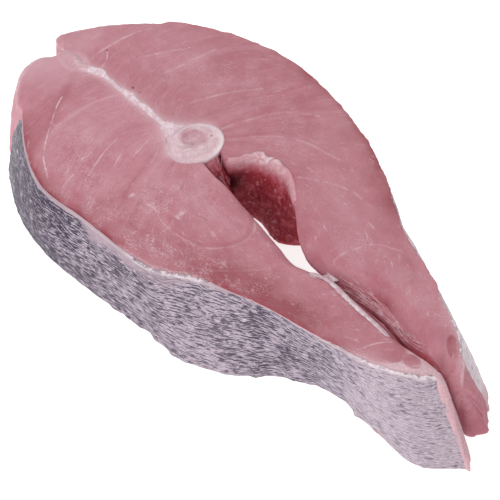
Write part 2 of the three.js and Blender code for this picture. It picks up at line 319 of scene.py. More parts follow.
def finish_piece(name, mesh, material, replaced=()):
    """Shades a mesh smoothly, faces it outwards and puts it in the frame."""
    mesh.validate()
    mesh.polygons.foreach_set("use_smooth", [True] * len(mesh.polygons))
    corners = np.zeros(len(mesh.vertices) * 3)
    mesh.vertices.foreach_get("co", corners)
    corners = corners.reshape(-1, 3)
    mesh.calc_loop_triangles()
    triangles = np.zeros(len(mesh.loop_triangles) * 3, int)
    mesh.loop_triangles.foreach_get("vertices", triangles)
    p, q, r = corners[triangles.reshape(-1, 3)].transpose(1, 0, 2)
    volume = np.einsum("ij,ij->i", p, np.cross(q, r)).sum() / 6
    if volume < 0:
        mesh.flip_normals()
    mesh.materials.append(material)
    piece = bpy.data.objects.new(name, mesh)
    bpy.context.scene.collection.objects.link(piece)
    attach(piece, "root")
    if replaced:
        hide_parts(*replaced)
    print(f"{name}: {len(triangles) // 3} triangles, {abs(volume) * 1e6:.1f} cm3")
    return piece


def store(mesh, **numbers):
    """Keeps named numbers for each point with the mesh, for its material to read."""
    for name, values in numbers.items():
        values = np.asarray(values, np.float32)
        is_vector = values.ndim == 2
        attribute = mesh.attributes.new(name, "FLOAT_VECTOR" if is_vector else "FLOAT", "POINT")
        attribute.data.foreach_set("vector" if is_vector else "value", values.ravel())


# %% [markdown]
# Materials come next, because each piece takes one as it is made. A colour is written as the sRGB
# hex value that a picture shows and turned to the linear value that light is worked out in. One
# helper adds a node, sets it up and links it.

# %% Colours and nodes


def linear(hex_colour):
    """An sRGB hex colour as linear red, green, blue and alpha."""
    shares = [int(hex_colour[k:k + 2], 16) / 255 for k in (1, 3, 5)]
    return (*[s / 12.92 if s <= 0.04045 else ((s + 0.055) / 1.055) ** 2.4 for s in shares], 1.0)


def new_material(name):
    """An empty material; returns it with its node tree."""
    material = bpy.data.materials.new(name)
    material.use_nodes = True
    material.node_tree.nodes.clear()
    return material, material.node_tree


def add_node(tree, kind, sockets, **settings):
    """Adds a node. A socket takes a value, or a link from a node or from one of its outputs."""
    node = tree.nodes.new("ShaderNode" + kind)
    for setting, value in settings.items():
        setattr(node, setting, value)
    for key, value in sockets.items():
        named = [s for s in node.inputs if s.name == key and not s.is_unavailable]
        socket = node.inputs[key] if isinstance(key, int) else named[0]
        if isinstance(value, bpy.types.Node):
            value = next(o for o in value.outputs if not o.is_unavailable)
        if isinstance(value, bpy.types.NodeSocket):
            tree.links.new(value, socket)
        else:
            socket.default_value = value
    return node


# %% [markdown]
# A wet tissue's colour is built up as a painter glazes: a ground, then thin layers, each placed by
# a pattern or by a number kept with the mesh. A noise pattern's values lie round 0.5, so a layer
# that starts at 0.5 and is full at 0.7 covers about half of the surface, softly. One function
# lays the glazes, because each tissue needs five or more of them.

# %% Glazes


def per_metre(size_in_mm):
    """A pattern's scale for lumps of that size: patterns count lumps per metre."""
    return 1 / (size_in_mm * MM)


def glazed(tree, ground, layers):
    """Lays thin colours over a ground. A layer is the pattern or the name of a stored number that
    places it, the values where it starts and is full, how much it covers, its colour, and
    anything that thins it."""
    colour = linear(ground)
    for placed_by, start, full, cover, hex_colour, *thinned_by in layers:
        sources = [add_node(tree, "Attribute", {}, attribute_name=source).outputs["Fac"]
                   if isinstance(source, str) else source for source in (placed_by, *thinned_by)]
        share = add_node(tree, "MapRange", {"Value": sources[0], "From Min": start,
                                            "From Max": full, "To Max": cover})
        for source in sources[1:]:
            share = add_node(tree, "Math", {0: share, 1: source}, operation="MULTIPLY",
                             use_clamp=True)
        colour = add_node(tree, "Mix", {"Factor": share, "A": colour, "B": linear(hex_colour)},
                          data_type="RGBA")
    return colour


# %% [markdown]
# Raw fish muscle: wet, slightly see-through protein. Light goes a millimetre or two into it and
# comes back pink, so it gets a little subsurface scattering, and its wet film gives it a thin
# clear coat. A sharp knife leaves broad soft bands, one for each muscle flake, with short pale
# threads of sinew across them. Where the cut was rougher it glistens, and its glints are painted
# into the colour: pale half-millimetre grains, pale curls where a ripple of 1 mm crosses its
# middle value, and fine pale dashes along the fibres.
# Water's IOR is 1.33 and wet muscle is about 1.38.

# %% Raw flesh


def raw_flesh():
    """The side muscles' material: patterns first, then the glazes, then the wet film."""
    material, tree = new_material("raw fish muscle, knife cut")
    place = add_node(tree, "TexCoord", {}).outputs["Object"]
    flow = add_node(tree, "Attribute", {}, attribute_name="flow").outputs["Vector"]
    broad, clots, grain, film, ripple = [
        add_node(tree, "TexNoise", {"Vector": place, "Scale": per_metre(size), "Detail": detail,
                                    "Roughness": 0.6})
        for size, detail in ((16, 3.0), (3.2, 4.0), (0.45, 2.0), (4.0, 3.0), (0.95, 2.0))]
    bands, fibres, threads = [
        add_node(tree, "TexNoise", {"Vector": flow, "Scale": scale, "Detail": detail})
        for scale, detail in ((0.42, 3.0), (1.5, 4.0), (6.0, 2.0))]
    painted_glint_patches = add_node(tree, "MapRange", {"Value": film, "From Min": 0.42, "From Max": 0.6})
    broken = add_node(tree, "MapRange", {"Value": clots, "From Min": 0.4, "From Max": 0.58,
                                         "To Min": 0.05})
    slope = add_node(tree, "Math", {0: ripple, 1: 0.5}, operation="SUBTRACT")
    painted_glint_curls = add_node(tree, "Math", {0: slope}, operation="ABSOLUTE")
    colour = glazed(tree, "#b8727f", [
        (broad, 0.36, 0.64, 1.0, "#c3848f"),
        (bands, 0.52, 0.7, 0.6, "#cd98a2"),
        (bands, 0.47, 0.3, 0.6, "#a95f6b"),
        (fibres, 0.54, 0.76, 0.22, "#ce99a4"),
        (fibres, 0.44, 0.26, 0.18, "#a55b68"),
        (clots, 0.55, 0.7, 0.35, "#cb959f"),
        (clots, 0.45, 0.32, 0.3, "#ae6672"),
        (grain, 0.5, 0.7, 0.2, "#ce9ba6"),
        (grain, 0.45, 0.3, 0.2, "#a25764"),
        ("pale", 0, 1, 1.0, "#cd9ca6"),
        ("dark", 0, 1, 1.0, "#963f4b"),
        (clots, 0.56, 0.68, 0.3, "#84303c", "dark"),
        # Painted glints: fine pale dashes along the fibres where the film glistens.
        (threads, 0.6, 0.72, 0.4, "#dfc0c7", painted_glint_patches),
        ("fat", 0, 1, 0.95, "#d5b0b8"),
        (grain, 0.52, 0.62, 0.5, "#e6d3d8", "fat"),
        ("cavity", 0, 1, 1.0, "#8c2232"),
        (clots, 0.5, 0.66, 0.75, "#b04a58", "cavity"),
        (clots, 0.46, 0.34, 0.8, "#6b1624", "cavity"),
        ("sinew", 0.12, -0.15, 0.85, "#e6d0d5", "sinew_share", broken),
        # Painted highlights: pale curls and pale grains where the wet cut glistens.
        (painted_glint_curls, 0.035, 0.005, 0.6, "#e6cbd1", "wet", painted_glint_patches),
        (grain, 0.54, 0.7, 0.35, "#e3c5cc", "wet", painted_glint_patches),
        (grain, 0.44, 0.34, 0.4, "#9c5461", "wet"),
        # Painted light: the right flap's wall in the slit, just below the rim, is painted a lighter
        # pink, with darker clots in it.
        ("slit_wall_painted_light", 0, 1, 0.9, "#eb98a4"),
        (clots, 0.48, 0.36, 0.5, "#c4606e", "slit_wall_painted_light"),
        ("speck", 0.1, 0.6, 0.9, "#6a2731"),
    ])
    on_face = add_node(tree, "Attribute", {}, attribute_name="on_face").outputs["Fac"]
    film_gloss = add_node(tree, "MapRange", {"Value": grain, "From Min": 0.3, "From Max": 0.75,
                                             "To Min": 0.48, "To Max": 0.3})
    gloss = add_node(tree, "Mix", {"Factor": on_face, "A": 0.75, "B": film_gloss},
                     data_type="FLOAT")
    coat = add_node(tree, "Math", {0: on_face, 1: 0.3}, operation="MULTIPLY")
    lumpy = add_node(tree, "Bump", {"Height": clots, "Strength": 0.35, "Distance": 0.6 * MM})
    bump = add_node(tree, "Bump", {"Height": grain, "Strength": 0.45, "Distance": 0.25 * MM,
                                   "Normal": lumpy})
    shader = add_node(tree, "BsdfPrincipled", {
        "Base Color": colour, "Roughness": gloss, "IOR": 1.38, "Normal": bump,
        "Subsurface Weight": 0.25, "Subsurface Radius": (1.0, 0.35, 0.3),
        "Subsurface Scale": 1.2 * MM, "Specular IOR Level": 0.4,
        "Coat Weight": coat, "Coat Roughness": 0.16, "Coat IOR": 1.33, "Coat Normal": bump})
    add_node(tree, "OutputMaterial", {"Surface": shader})
    return material


FLESH = raw_flesh()
print("made", FLESH.name)

# %% [markdown]
# Mackerel skin: scaleless, thin and tight, silver-grey and covered in short dark and pale flecks
# that follow the body's length round the slice. Guanine crystals under it give the silver, so
# it has a soft pearly shine rather than a metal's. A fleck is about 2.6 mm long and 0.4 mm high.
# Noises stretched along the skin give them: a dark set that covers, a pale one and fine hairs.
# Both bend a little, and the dark set crowds where the mesh says that the skin is dark.

# %% Silver skin
FLECKS = [  # lumps to a millimetre along and up the skin, and the noise's detail
    (0.38, 2.4, 4.0),
    (0.5, 2.6, 3.0),
    (1.2, 4.5, 2.0),
]


def silver_skin():
    """The skin's material: bent coordinates, flecks, the glazes and a soft shine."""
    material, tree = new_material("mackerel skin, silver with dark flecks")
    wrap = add_node(tree, "Attribute", {}, attribute_name="wrap").outputs["Vector"]
    bend = add_node(tree, "TexNoise", {"Vector": wrap, "Scale": 0.16, "Detail": 3.0})
    bent = add_node(tree, "VectorMath", {0: bend.outputs["Color"], 1: (1.2, 1.6, 0.0)},
                    operation="MULTIPLY")
    wavy = add_node(tree, "VectorMath", {0: wrap, 1: bent}, operation="ADD")
    flecks, pale_flecks, hairs = [
        add_node(tree, "TexNoise", {
            "Vector": add_node(tree, "Mapping", {"Vector": wavy, "Scale": (along, up, 1),
                                                 "Location": (k, 7.0 * k, 0)}),
            "Scale": 1.0, "Detail": detail, "Roughness": 0.62})
        for k, (along, up, detail) in enumerate(FLECKS)]
    patch = add_node(tree, "TexNoise", {"Vector": wrap, "Scale": 0.14, "Detail": 4.0})
    darkness = add_node(tree, "Attribute", {}, attribute_name="dark").outputs["Fac"]
    crowding = add_node(tree, "Math", {0: darkness, 1: 0.18, 2: 0.385}, operation="MULTIPLY_ADD")
    patchy = add_node(tree, "Math", {0: patch, 1: 0.22, 2: -0.11}, operation="MULTIPLY_ADD")
    limit = add_node(tree, "Math", {0: crowding, 1: patchy}, operation="ADD")
    under = add_node(tree, "Math", {0: limit, 1: flecks}, operation="SUBTRACT")
    colour = glazed(tree, "#b3a1ac", [
        ("dark", 0.3, 1.0, 0.6, "#8f8198"),
        (patch, 0.5, 0.68, 0.4, "#a18e9c"),
        (pale_flecks, 0.51, 0.6, 0.7, "#d3cad6"),
        (hairs, 0.55, 0.68, 0.5, "#e2d8e4"),
        (hairs, 0.45, 0.34, 0.45, "#73657a"),
        (under, -0.01, 0.015, 0.96, "#2a1c36", "fleck"),
        (pale_flecks, 0.6, 0.7, 0.4, "#b3a3b8"),
        ("bare", 0, 1, 0.85, "#b39da6"),
        (hairs, 0.46, 0.62, 0.5, "#988592", "bare"),
        ("cut", 0, 1, 1.0, "#c6afb8"),
        ("torn", 0, 1, 1.0, "#e6d8de"),
        (pale_flecks, 0.5, 0.38, 0.6, "#c29aa4", "torn"),
        (under, 0.0, 0.02, 0.5, "#5a4a60", "torn"),
        ("bloody", 0, 1, 0.9, "#b9747c"),
    ])
    height = add_node(tree, "Math", {0: pale_flecks, 1: flecks}, operation="ADD")
    bump = add_node(tree, "Bump", {"Height": height, "Strength": 0.6, "Distance": 0.35 * MM})
    gloss = add_node(tree, "MapRange", {"Value": pale_flecks, "From Min": 0.3, "From Max": 0.7,
                                        "To Min": 0.5, "To Max": 0.3})
    shader = add_node(tree, "BsdfPrincipled", {
        "Base Color": colour, "Roughness": gloss, "IOR": 1.42, "Normal": bump,
        "Specular IOR Level": 0.22})
    add_node(tree, "OutputMaterial", {"Surface": shader})
    return material


SKIN = silver_skin()
print("made", SKIN.name)

# %% [markdown]
# Fresh bone, cartilage, clotted blood and membrane are all wet too. Bone is milky and dense,
# cartilage lets more light through, blood is nearly black where it is thick, and membrane is
# whitish with fine pleats. They differ in their ground, their lumps and how deep light goes, so
# each is a ground and a few glazes: the lump's size in millimetres, or a number kept with the
# mesh, then where the glaze starts and is full, how much it covers and its colour.

# %% Bone, cartilage, blood and membrane


def wet_tissue(name, ground, glazes, roughness, depth_mm, film=0.35):
    """A wet tissue's material: a ground, its glazes, a fine grain and a film of water."""
    material, tree = new_material(name)
    place = add_node(tree, "TexCoord", {}).outputs["Object"]
    layers = []
    for placed_by, *rest in glazes:
        if not isinstance(placed_by, str):
            placed_by = add_node(tree, "TexNoise", {"Vector": place, "Scale": per_metre(placed_by),
                                                    "Detail": 3.0, "Roughness": 0.6})
        layers.append((placed_by, *rest))
    fine = add_node(tree, "TexNoise", {"Vector": place, "Scale": per_metre(0.7), "Detail": 3.0})
    bump = add_node(tree, "Bump", {"Height": fine, "Strength": 0.45, "Distance": 0.25 * MM})
    shader = add_node(tree, "BsdfPrincipled", {
        "Base Color": glazed(tree, ground, layers), "Roughness": roughness, "IOR": 1.4,
        "Normal": bump, "Coat Normal": bump,
        "Subsurface Weight": 0.3, "Subsurface Radius": (1.0, 0.5, 0.45),
        "Subsurface Scale": depth_mm * MM, "Specular IOR Level": min(0.5, 1.4 * film),
        "Coat Weight": film, "Coat Roughness": 0.14, "Coat IOR": 1.33})
    add_node(tree, "OutputMaterial", {"Surface": shader})
    return material


# The last glaze of the backbone and of the bone plate, near-white specks half a millimetre wide,
# paints wet glints.
BONE = wet_tissue("fresh backbone, wet", "#cda9b2", [
    (2.6, 0.42, 0.62, 0.8, "#dbbec6"), (1.2, 0.46, 0.32, 0.4, "#c39aa4"),
    ("edge", 0, 1, 0.7, "#ead9de"), ("spot", 0, 1, 0.9, "#be8a95"),
    ("mark", 0.1, 0.7, 0.85, "#87757c"), (0.5, 0.6, 0.7, 0.5, "#f0e4e8")], 0.3, 1.0)
PLATE_BONE = wet_tissue("thin bone plate, wet", "#d4b3bc", [
    (1.3, 0.42, 0.6, 0.85, "#e6d3da"), ("edge", 0, 1, 0.8, "#c9959f"),
    ("gristle", 0, 1, 0.9, "#cb9ba4"), (0.5, 0.58, 0.68, 0.5, "#f2e8eb")], 0.32, 1.0)
CARTILAGE = wet_tissue("fin cartilage, translucent", "#cb9ba5", [
    (2.6, 0.45, 0.62, 0.6, "#d6b0b8"), (1.0, 0.56, 0.68, 0.4, "#e0c6cc"),
    ("edge", 0, 1, 0.9, "#cb9ba5")], 0.3, 2.0)
BLOOD = wet_tissue("clotted blood tissue", "#a03442", [
    (1.8, 0.46, 0.62, 0.8, "#c26c77"), (2.4, 0.47, 0.34, 0.75, "#6a1a27"),
    ("pale", 0, 1, 0.85, "#c88690"), (0.8, 0.58, 0.7, 0.5, "#dba9b0")], 0.5, 0.8, 0.1)
MEMBRANE = wet_tissue("belly membrane, whitish", "#cba7b0", [
    (1.5, 0.44, 0.6, 0.8, "#e2d4da"), (0.9, 0.46, 0.34, 0.5, "#bd919b")], 0.26, 0.8)
# The lower threads, down in the slit, are painted a lighter pink: painted light in the slit's
# shade.
THREADS = wet_tissue("torn muscle threads", "#d78f9a", [
    (1.5, 0.44, 0.6, 0.8, "#ebbdc4"), ("deep", 0, 1, 0.8, "#f4aab4")], 0.4, 0.6, 0.1)
# The near-black hollow glaze is painted shadow in the deep pocket by the clot.
CAVITY_LINING = wet_tissue("cavity lining, blood stained", "#99333f", [
    (2.8, 0.48, 0.64, 0.85, "#c05c68"), (2.2, 0.47, 0.34, 0.7, "#7e2430"),
    (1.6, 0.56, 0.68, 0.75, "#cf8993"), ("hollow", 0, 1, 0.95, "#3a0d16"),
    ("rim", 0, 0.6, 0.8, "#bd6874"), (1.6, 0.42, 0.58, 0.7, "#cb8590", "rim"),
    ("rim", 0.5, 1, 0.95, "#cc969f"), (1.2, 0.5, 0.66, 0.5, "#ddb8c0", "rim"),
    (1.3, 0.46, 0.6, 0.8, "#e8d2d7", "white")], 0.6, 0.8, 0.08)
print("made", len(bpy.data.materials), "materials with the frame's own")

# %% [markdown]
# The side muscles are the steak. The grid between the inner and the outer edge is drawn straight
# across first and then relaxed, as a net settles, so that it doesn't fold where the inner edge
# turns sharply. The section is then wrapped round it, with soft lips where bare flesh was cut
# and a tight edge where the skin holds it.

# %% The net of a side muscle
SKIN_STARTS = {"rim": -71.5, "foot": -78.0}
OUTLINE_LENGTH = 210.0
TEAR = [(1.3, 7), (0.6, 19), (0.3, 47)]  # waves of the torn start: mm, radians over the height
STATIONS = 470
ROWS = 100
NET_ROWS = 41
SETTLING_STEPS = 300


def share_at(curve, x, first=0.05):
    """The share of a curve's length at which it passes an X, looked for from a share on."""
    shares = np.linspace(first, 1, 2000)
    return shares[np.argmax(curve(shares)[:, 0] >= x)]


SKIN_FROM = {
    side: {level: share_at(EDGES[side][level]["outer"], x) for level, x in SKIN_STARTS.items()}
    for side in EDGES
}


def skin_from(side, height):
    """The share of the outline where the skin starts: it was torn off with the back fin."""
    low, high = SKIN_FROM[side]["foot"], SKIN_FROM[side]["rim"]
    torn = sum(mm * np.sin(waves * height + 0.8) for mm, waves in TEAR) / OUTLINE_LENGTH
    return low + (high - low) * height + torn


def skin_end(side, height):
    """The share of the outline where the skin ends: the flap's very end is bare."""
    if side == LEFT:
        return 1 - 0.0015 - 0.003 * hill(height, 0.74, 0.22)
    return 1 - 0.013 - 0.014 * (1 - ramp(height, 0.15, 0.6))


def relaxed_net(side, level, along):
    """Flat points between a side's inner and outer edge, for each station along it."""
    inner, outer = EDGES[side][level]["inner"](along), EDGES[side][level]["outer"](along)
    net = mix(inner[:, None], outer[:, None], np.linspace(0, 1, NET_ROWS)[None, :, None])
    for _ in range(SETTLING_STEPS):
        net[1:-1, 1:-1] = (net[:-2, 1:-1] + net[2:, 1:-1] + net[1:-1, :-2] + net[1:-1, 2:]) / 4
    return net


def read_net(net, share):
    """Points of a net at shares across it: net (station, row, 2), share (station, point)."""
    place = np.clip(share, 0, 1) * (NET_ROWS - 1)
    low = np.minimum(place.astype(int), NET_ROWS - 2)
    station = np.arange(len(net))[:, None]
    return mix(net[station, low], net[station, low + 1], (place - low)[..., None])


def outward(curve, along, side):
    """Flat unit vectors that point out of a side's outer edge."""
    step = 0.003
    ahead = curve(np.minimum(along + step, 1)) - curve(np.maximum(along - step, 0))
    ahead /= np.linalg.norm(ahead, axis=1)[:, None]
    return np.stack([-ahead[:, 1], ahead[:, 0]], -1) * side


# %% [markdown]
# Forms of the cut face that the knife and the cook's hand left: a low step that curves across
# the left side, two shallow creases, the lobes beside the fin that round down at their edges,
# and the right flap's inner edge, which rolls down into the slit. One broad swell runs under
# everything, so that bone, gristle and flesh share a surface. The rougher cut glistens.
# A soft oval spot places most of these, so one table row holds its strength, its middle, its
# half sizes and its turn in degrees.

# %% Forms of the cut face
STEP_LINE = [(-16, -17), (-10, -25), (-1, -25), (4, -22), (8, -17), (9, -13), (7, -8), (1, -3),
             (-6, 0)]
BEHIND_STEP = (-20, -6)  # closes the raised area that the step goes round
CREASES = [(0.45, -26, -31, 2.5, 9, -20), (0.3, -37, -25, 1.6, 8, -25)]
ROLLED = {"start": 12, "end": 72, "fade": 12, "drop": 4.2, "deeper": 1.4, "reach": 8.5}
LIP = {"back": 0.2, "belly": 1.2}  # how round the inner edge is, in millimetres
FAR = 30.0  # a distance from the skin or the slit at which neither shapes the face
GLISTENING = {
    LEFT: [(0.9, -15, -35, 17, 6, 0), (0.9, 4, -30, 13, 6, 15), (0.7, 16, -25, 12, 5, 20),
           (2.4, -18.5, -21, 4.5, 3.6, 0), (0.7, -45, -28, 16, 8, -35),
           (0.5, -12, -12, 10, 6, 0), (0.35, 40, -14, 14, 5, 15)],
    RIGHT: [(0.4, -62, 9, 10, 4, 10), (0.35, -45, 25, 20, 8, 20), (0.35, -12, 22, 14, 8, 0),
            (0.35, 32, 8, 12, 6, -20), (0.3, 60, 5, 8, 4, -20)],
}


def distance_to(points, line):
    """Flat distance from points to a smooth line through a few points."""
    drawn = smooth_curve(line)(np.linspace(0, 1, 6 * len(line)))
    best = np.full(len(points), 1e9)
    for start, end in zip(drawn[:-1], drawn[1:]):
        step = end - start
        t = np.clip(((points - start) @ step) / (step @ step), 0, 1)
        best = np.minimum(best, np.linalg.norm(points - start - t[:, None] * step, axis=1))
    return best


def inside(points, corners):
    """True for flat points inside a closed polygon."""
    found = np.zeros(len(points), bool)
    x, y = points.T
    for (x1, y1), (x2, y2) in zip(corners, [*corners[1:], corners[0]]):
        crosses = (y1 > y) != (y2 > y)
        at = x1 + (y - y1) * (x2 - x1) / (y2 - y1 if y2 != y1 else 1)
        found ^= crosses & (x < at)
    return found


def oval_reach(points, x, y, half_x, half_y, turn=0.0):
    """How far points are from an oval's middle: 1 on the oval."""
    c, s = math.cos(math.radians(turn)), math.sin(math.radians(turn))
    dx, dy = points[:, 0] - x, points[:, 1] - y
    return np.hypot((dx * c + dy * s) / half_x, (dy * c - dx * s) / half_y)


def spot(points, *oval):
    """A soft oval spot, 1 at its middle."""
    return hill(oval_reach(points, *oval), 0, 1)


def spots(points, table):
    """The soft oval spots of a table, added up."""
    return sum(strength * spot(points, *oval) for strength, *oval in table)


def glistening(side, flat):
    """How rough and wet the cut face is, from 0 to 1; it lifts the relief and places painted
    glints.
    """
    return np.clip(spots(flat, GLISTENING[side]), 0, 1)


def broad_swell(flat):
    """The slow rise and fall of the whole cut face, the same for each piece on it."""
    return 0.30 * rough_lumps(np.column_stack([flat, np.zeros(len(flat))]), 14, 11)


def face_relief(side, flat, across, from_skin):
    """How far a side's cut face stands above the slice's thickness, apart from its roll."""
    level = np.column_stack([flat, np.zeros(len(flat))])
    relief = broad_swell(flat) + 0.06 * rough_lumps(level, 2.2, 21)
    relief += 0.13 * glistening(side, flat) * rough_lumps(level, 1.7, 25, layers=2)
    from_lip = 1 - ramp(across, 0, 3)
    if side == LEFT:
        raised = inside(flat, [*STEP_LINE, BEHIND_STEP])
        relief += 0.3 * np.where(raised, between(distance_to(flat, STEP_LINE), 0, 1.6, 3, 14), 0)
        relief -= 0.7 * (1 - ramp(from_skin, 0, 6)) * spot(flat, -85, -14, 9, 12)
        relief -= 0.5 * from_lip * ramp(flat[:, 0], -12, 0)
        relief -= spots(flat, CREASES)
    else:
        relief -= 0.4 * (1 - ramp(from_skin, 0, 5)) * spot(flat, -86, 4, 8, 9)
        relief -= 0.8 * from_lip * spot(flat, -3, 11, 14, 8)
    return relief


def tip_drop(side, x):
    """How far a flap's tip droops."""
    return 1.4 * ramp(x, 69, 77) if side == LEFT else 1.5 * ramp(x, 66, 80)


def rolled_drop(side, x, across, from_skin=FAR):
    """How far the face drops where it rolls down into the slit and at the flap's tip."""
    if side == LEFT:
        return tip_drop(side, x)
    on = between(x, ROLLED["start"], ROLLED["start"] + ROLLED["fade"],
                 ROLLED["end"] - ROLLED["fade"], ROLLED["end"])
    hollow = tip_drop(side, x) + 4.5 * ramp(x, 62, 80) ** 1.5 * ramp(from_skin, 0, 5)
    drop = ROLLED["drop"] + ROLLED["deeper"] * ramp(x, 31, 43)
    return drop * on * (1 - ramp(across, 0, ROLLED["reach"])) ** 2 + hollow


def face_lift(height, relief, drop):
    """How far the face's forms move a point that lies at a share of the height."""
    return ramp(height, 0.55, 1.0) * relief - height * drop


def skin_cover(side, x):
    """How much of the skin's cut rim is hidden by the flesh's edge, from 0 to 1."""
    if side == LEFT:
        return 0.5 * (1 - ramp(x, -56, -46)) + 0.75 * between(x, 10, 20, 44, 56)
    return 0.97 - 0.75 * hill(x, 42, 6) - 0.6 * ramp(x, 56, 66)


# %% [markdown]
# The face's marks. Sinews are pale threads that run in arcs between the muscle flakes. Near the
# belly's tip the muscle ends in small bundles, each in its pale sheath. Dark red muscle lies
# under the skin and along the belly, pale fat closes the tips, and the cavity's walls are dark
# with blood. Some marks are painted light and shade: darker walls deep in the slit, a lighter
# right wall in the slit, wet glints, and the pale edge of the step. Each is a number from 0 to 1
# kept with the mesh, drawn from a few named places.

# %% Places of the marks
SINEWS = {  # half width in millimetres, strength and points of each
    LEFT: [
        (0.16, 1.0, [(-69, -14), (-66, -19), (-62, -24), (-58, -29), (-53, -34), (-46, -38)]),
        (0.10, 0.6, [(-61, -33), (-58, -36), (-54, -38)]),
        (0.12, 0.7, [(-46, -21), (-45, -25), (-45, -28)]),
        (0.12, 0.7, [(-45, -30), (-44, -33), (-43, -35)]),
        (0.15, 0.8, [(-44, -14), (-43, -19), (-41, -24), (-38, -31)]),
        (0.12, 0.6, [(-40, -15), (-38, -19), (-36, -23)]),
        (0.15, 0.7, [(-38, -7), (-36, -14), (-35, -17)]),
        (0.15, 0.6, [(-42, -32), (-41, -35), (-40, -38)]),
        (0.10, 0.4, [(-33, -8), (-29, -15), (-25, -20)]),
        (0.10, 0.25, [(-28, -22), (-25, -26), (-22, -27), (-17, -26), (-14, -23)]),
        (0.10, 0.5, [(-10, -21), (-12, -16), (-13, -13)]),
        (0.10, 0.4, [(-10, -21), (-9, -25), (-9, -28)]),
        # This row and the next follow the step of the cut face: their pale line paints the
        # highlight of the step's edge.
        (0.30, 0.2, [(-3, -25), (3, -23), (7, -19), (9, -14), (8, -9), (5, -6)]),
        (0.10, 0.4, [(-16, -24), (-9, -25.5), (-3, -25)]),
        (0.30, 0.1, [(-9, -34), (0, -32), (9, -28), (17, -20), (22, -11)]),
        (0.18, 0.4, [(55.5, -17), (57.5, -12), (60, -8.5)]),
    ],
    RIGHT: [
        (0.20, 0.4, [(-74, -1), (-76, 4), (-76, 11), (-75, 19), (-73, 24)]),
        (0.20, 0.5, [(-70, 1), (-72, 5), (-75, 8)]),
        (0.35, 0.2, [(-56, 12), (-55, 19), (-54, 26), (-53, 32)]),
        (0.35, 0.18, [(-66, 13), (-63, 19), (-59, 27)]),
        (0.35, 0.2, [(-42, 7), (-40, 14), (-36, 23), (-31, 31)]),
        (0.35, 0.18, [(-27, 11), (-24, 20), (-19, 29), (-11, 35)]),
        (0.35, 0.16, [(-22, 10), (-17, 17), (-8, 24), (5, 27)]),
        (0.35, 0.22, [(2, 14), (8, 18), (16, 21), (24, 21)]),
        (0.30, 0.2, [(30, 0), (31, 6), (34, 12), (40, 15)]),
    ],
}
SINEW_SPREAD = 0.05  # drawn a little wider and stronger than measured, to show in the render
SINEW_BOOST = 1.25
BUNDLES = {
    LEFT: [(62.4, -11.2, 3.3, 3.2, 20), (67.6, -9.4, 2.2, 1.9, 15)],
    RIGHT: [(71.5, 2.2, 3.6, 1.7, -35)],
}
BUNDLE_DARK = {LEFT: (0.15, 0.8, 1.0), RIGHT: (0.55, 0.75, 1.1)}  # share, full inside, none outside
DARK_SPOTS = {
    LEFT: [(0.68, 31, -20.5, 17, 5.5, 17), (0.25, 10, -25, 20, 8, 20), (0.22, -28, -32, 3, 9, -20),
           (0.15, -8, -30, 22, 9), (0.3, -66, -19, 14, 1.3, -60)],
    RIGHT: [(0.25, 24, 26, 24, 4, -32), (0.5, 48.5, 0.9, 3.2, 1.7, -15)],
}
PALE_SPOTS = {
    LEFT: [(1.1, -88, -14, 9, 12), (0.3, -76, -8, 10, 5), (0.35, -52, -18, 9, 5),
           (0.3, -18, -15, 10, 4)],
    RIGHT: [(0.6, -86, 4, 7, 9), (0.2, -60, 22, 22, 12), (0.3, 46, 9, 14, 4, -25),
            (0.5, 72, 2, 7, 4, -30)],
}
FIN_SURROUND = (-78, -2.3, 5.6, 4.2)
# Pale flecks and a soft pale patch by the lens of the left face: partly fat, partly painted wet
# highlights.
FAT_AND_GLINT_FLECKS = [(0.22, -21.5, -22.5, 3.6, 2.6), (0.9, -24.8, -24.9, 0.5, 0.8),
              (0.9, -17, -23.6, 1.2, 0.4), (0.9, -19, -23.9, 0.45, 0.4),
              (0.9, -10, -19.4, 0.5, 1.2), (0.9, -9.6, -21.2, 0.9, 0.4)]
BLOOD_SPECKS = [(1, -75.1, 7.8, 0.35, 0.35), (1, -57.2, 2.9, 0.4, 0.4),
                (1, -54.2, 3.1, 0.25, 0.25)]
NICK = [(-6.6, -16.9), (-5.2, -16.1), (-3.4, -15.9)]  # a short cut of the knife's tip

# %% Marks of the cut face


def dark_muscle(side, flat, across, from_skin, bundle):
    """How dark red the muscle is: under the skin, at the belly, in its end bundles and where the
    right face rolls into the slit, which is partly painted shade.
    """
    x, y = flat.T
    strength, full, none = BUNDLE_DARK[side]
    dark = spots(flat, DARK_SPOTS[side]) + strength * (1 - ramp(bundle, full, none))
    near_skin = np.exp(-from_skin / 2.2)
    if side == LEFT:
        near_skin = near_skin * (between(x, -76, -58, -20, -8) + 0.6 * between(x, -4, 8, 48, 58))
        return dark + near_skin + 0.12 * ramp(x, -40, 20)
    dark += 0.1 + 0.16 * ramp(x, -65, -35) - 0.08 * ramp(x, -5, 20) + 0.1 * ramp(y, 20, 35)
    # Dark red where the right face rolls into the slit by the bridge: dark tissue, deepened by
    # painted shade of the hole there.
    dark += 0.8 * (1 - ramp(across, 0.5, 5.0)) * hill(x, 41, 7)
    return dark + 0.55 * near_skin * between(x, -44, -24, 26, 40) + 0.12 * ramp(x, 66, 74)


def fat_at_edges(side, x, along, from_skin, sheath, on_face):
    """Where pale fat closes the muscle: under the skin, and round the left flap's bundles."""
    if side == RIGHT:
        return 0.6 * np.exp(-from_skin / 1.2) * ramp(x, 56, 62) * on_face
    fat = 0.8 * ramp(x, 62, 66) * ramp(sheath, 0.95, 1.25)
    fat += 0.9 * np.exp(-from_skin / 1.3) * ramp(x, 50, 60)
    fat += 0.6 * np.exp(-from_skin / 0.8) * between(x, -16, -6, 8, 14)
    return np.maximum(fat * on_face, 0.8 * ramp(along, 0.985, 0.995))


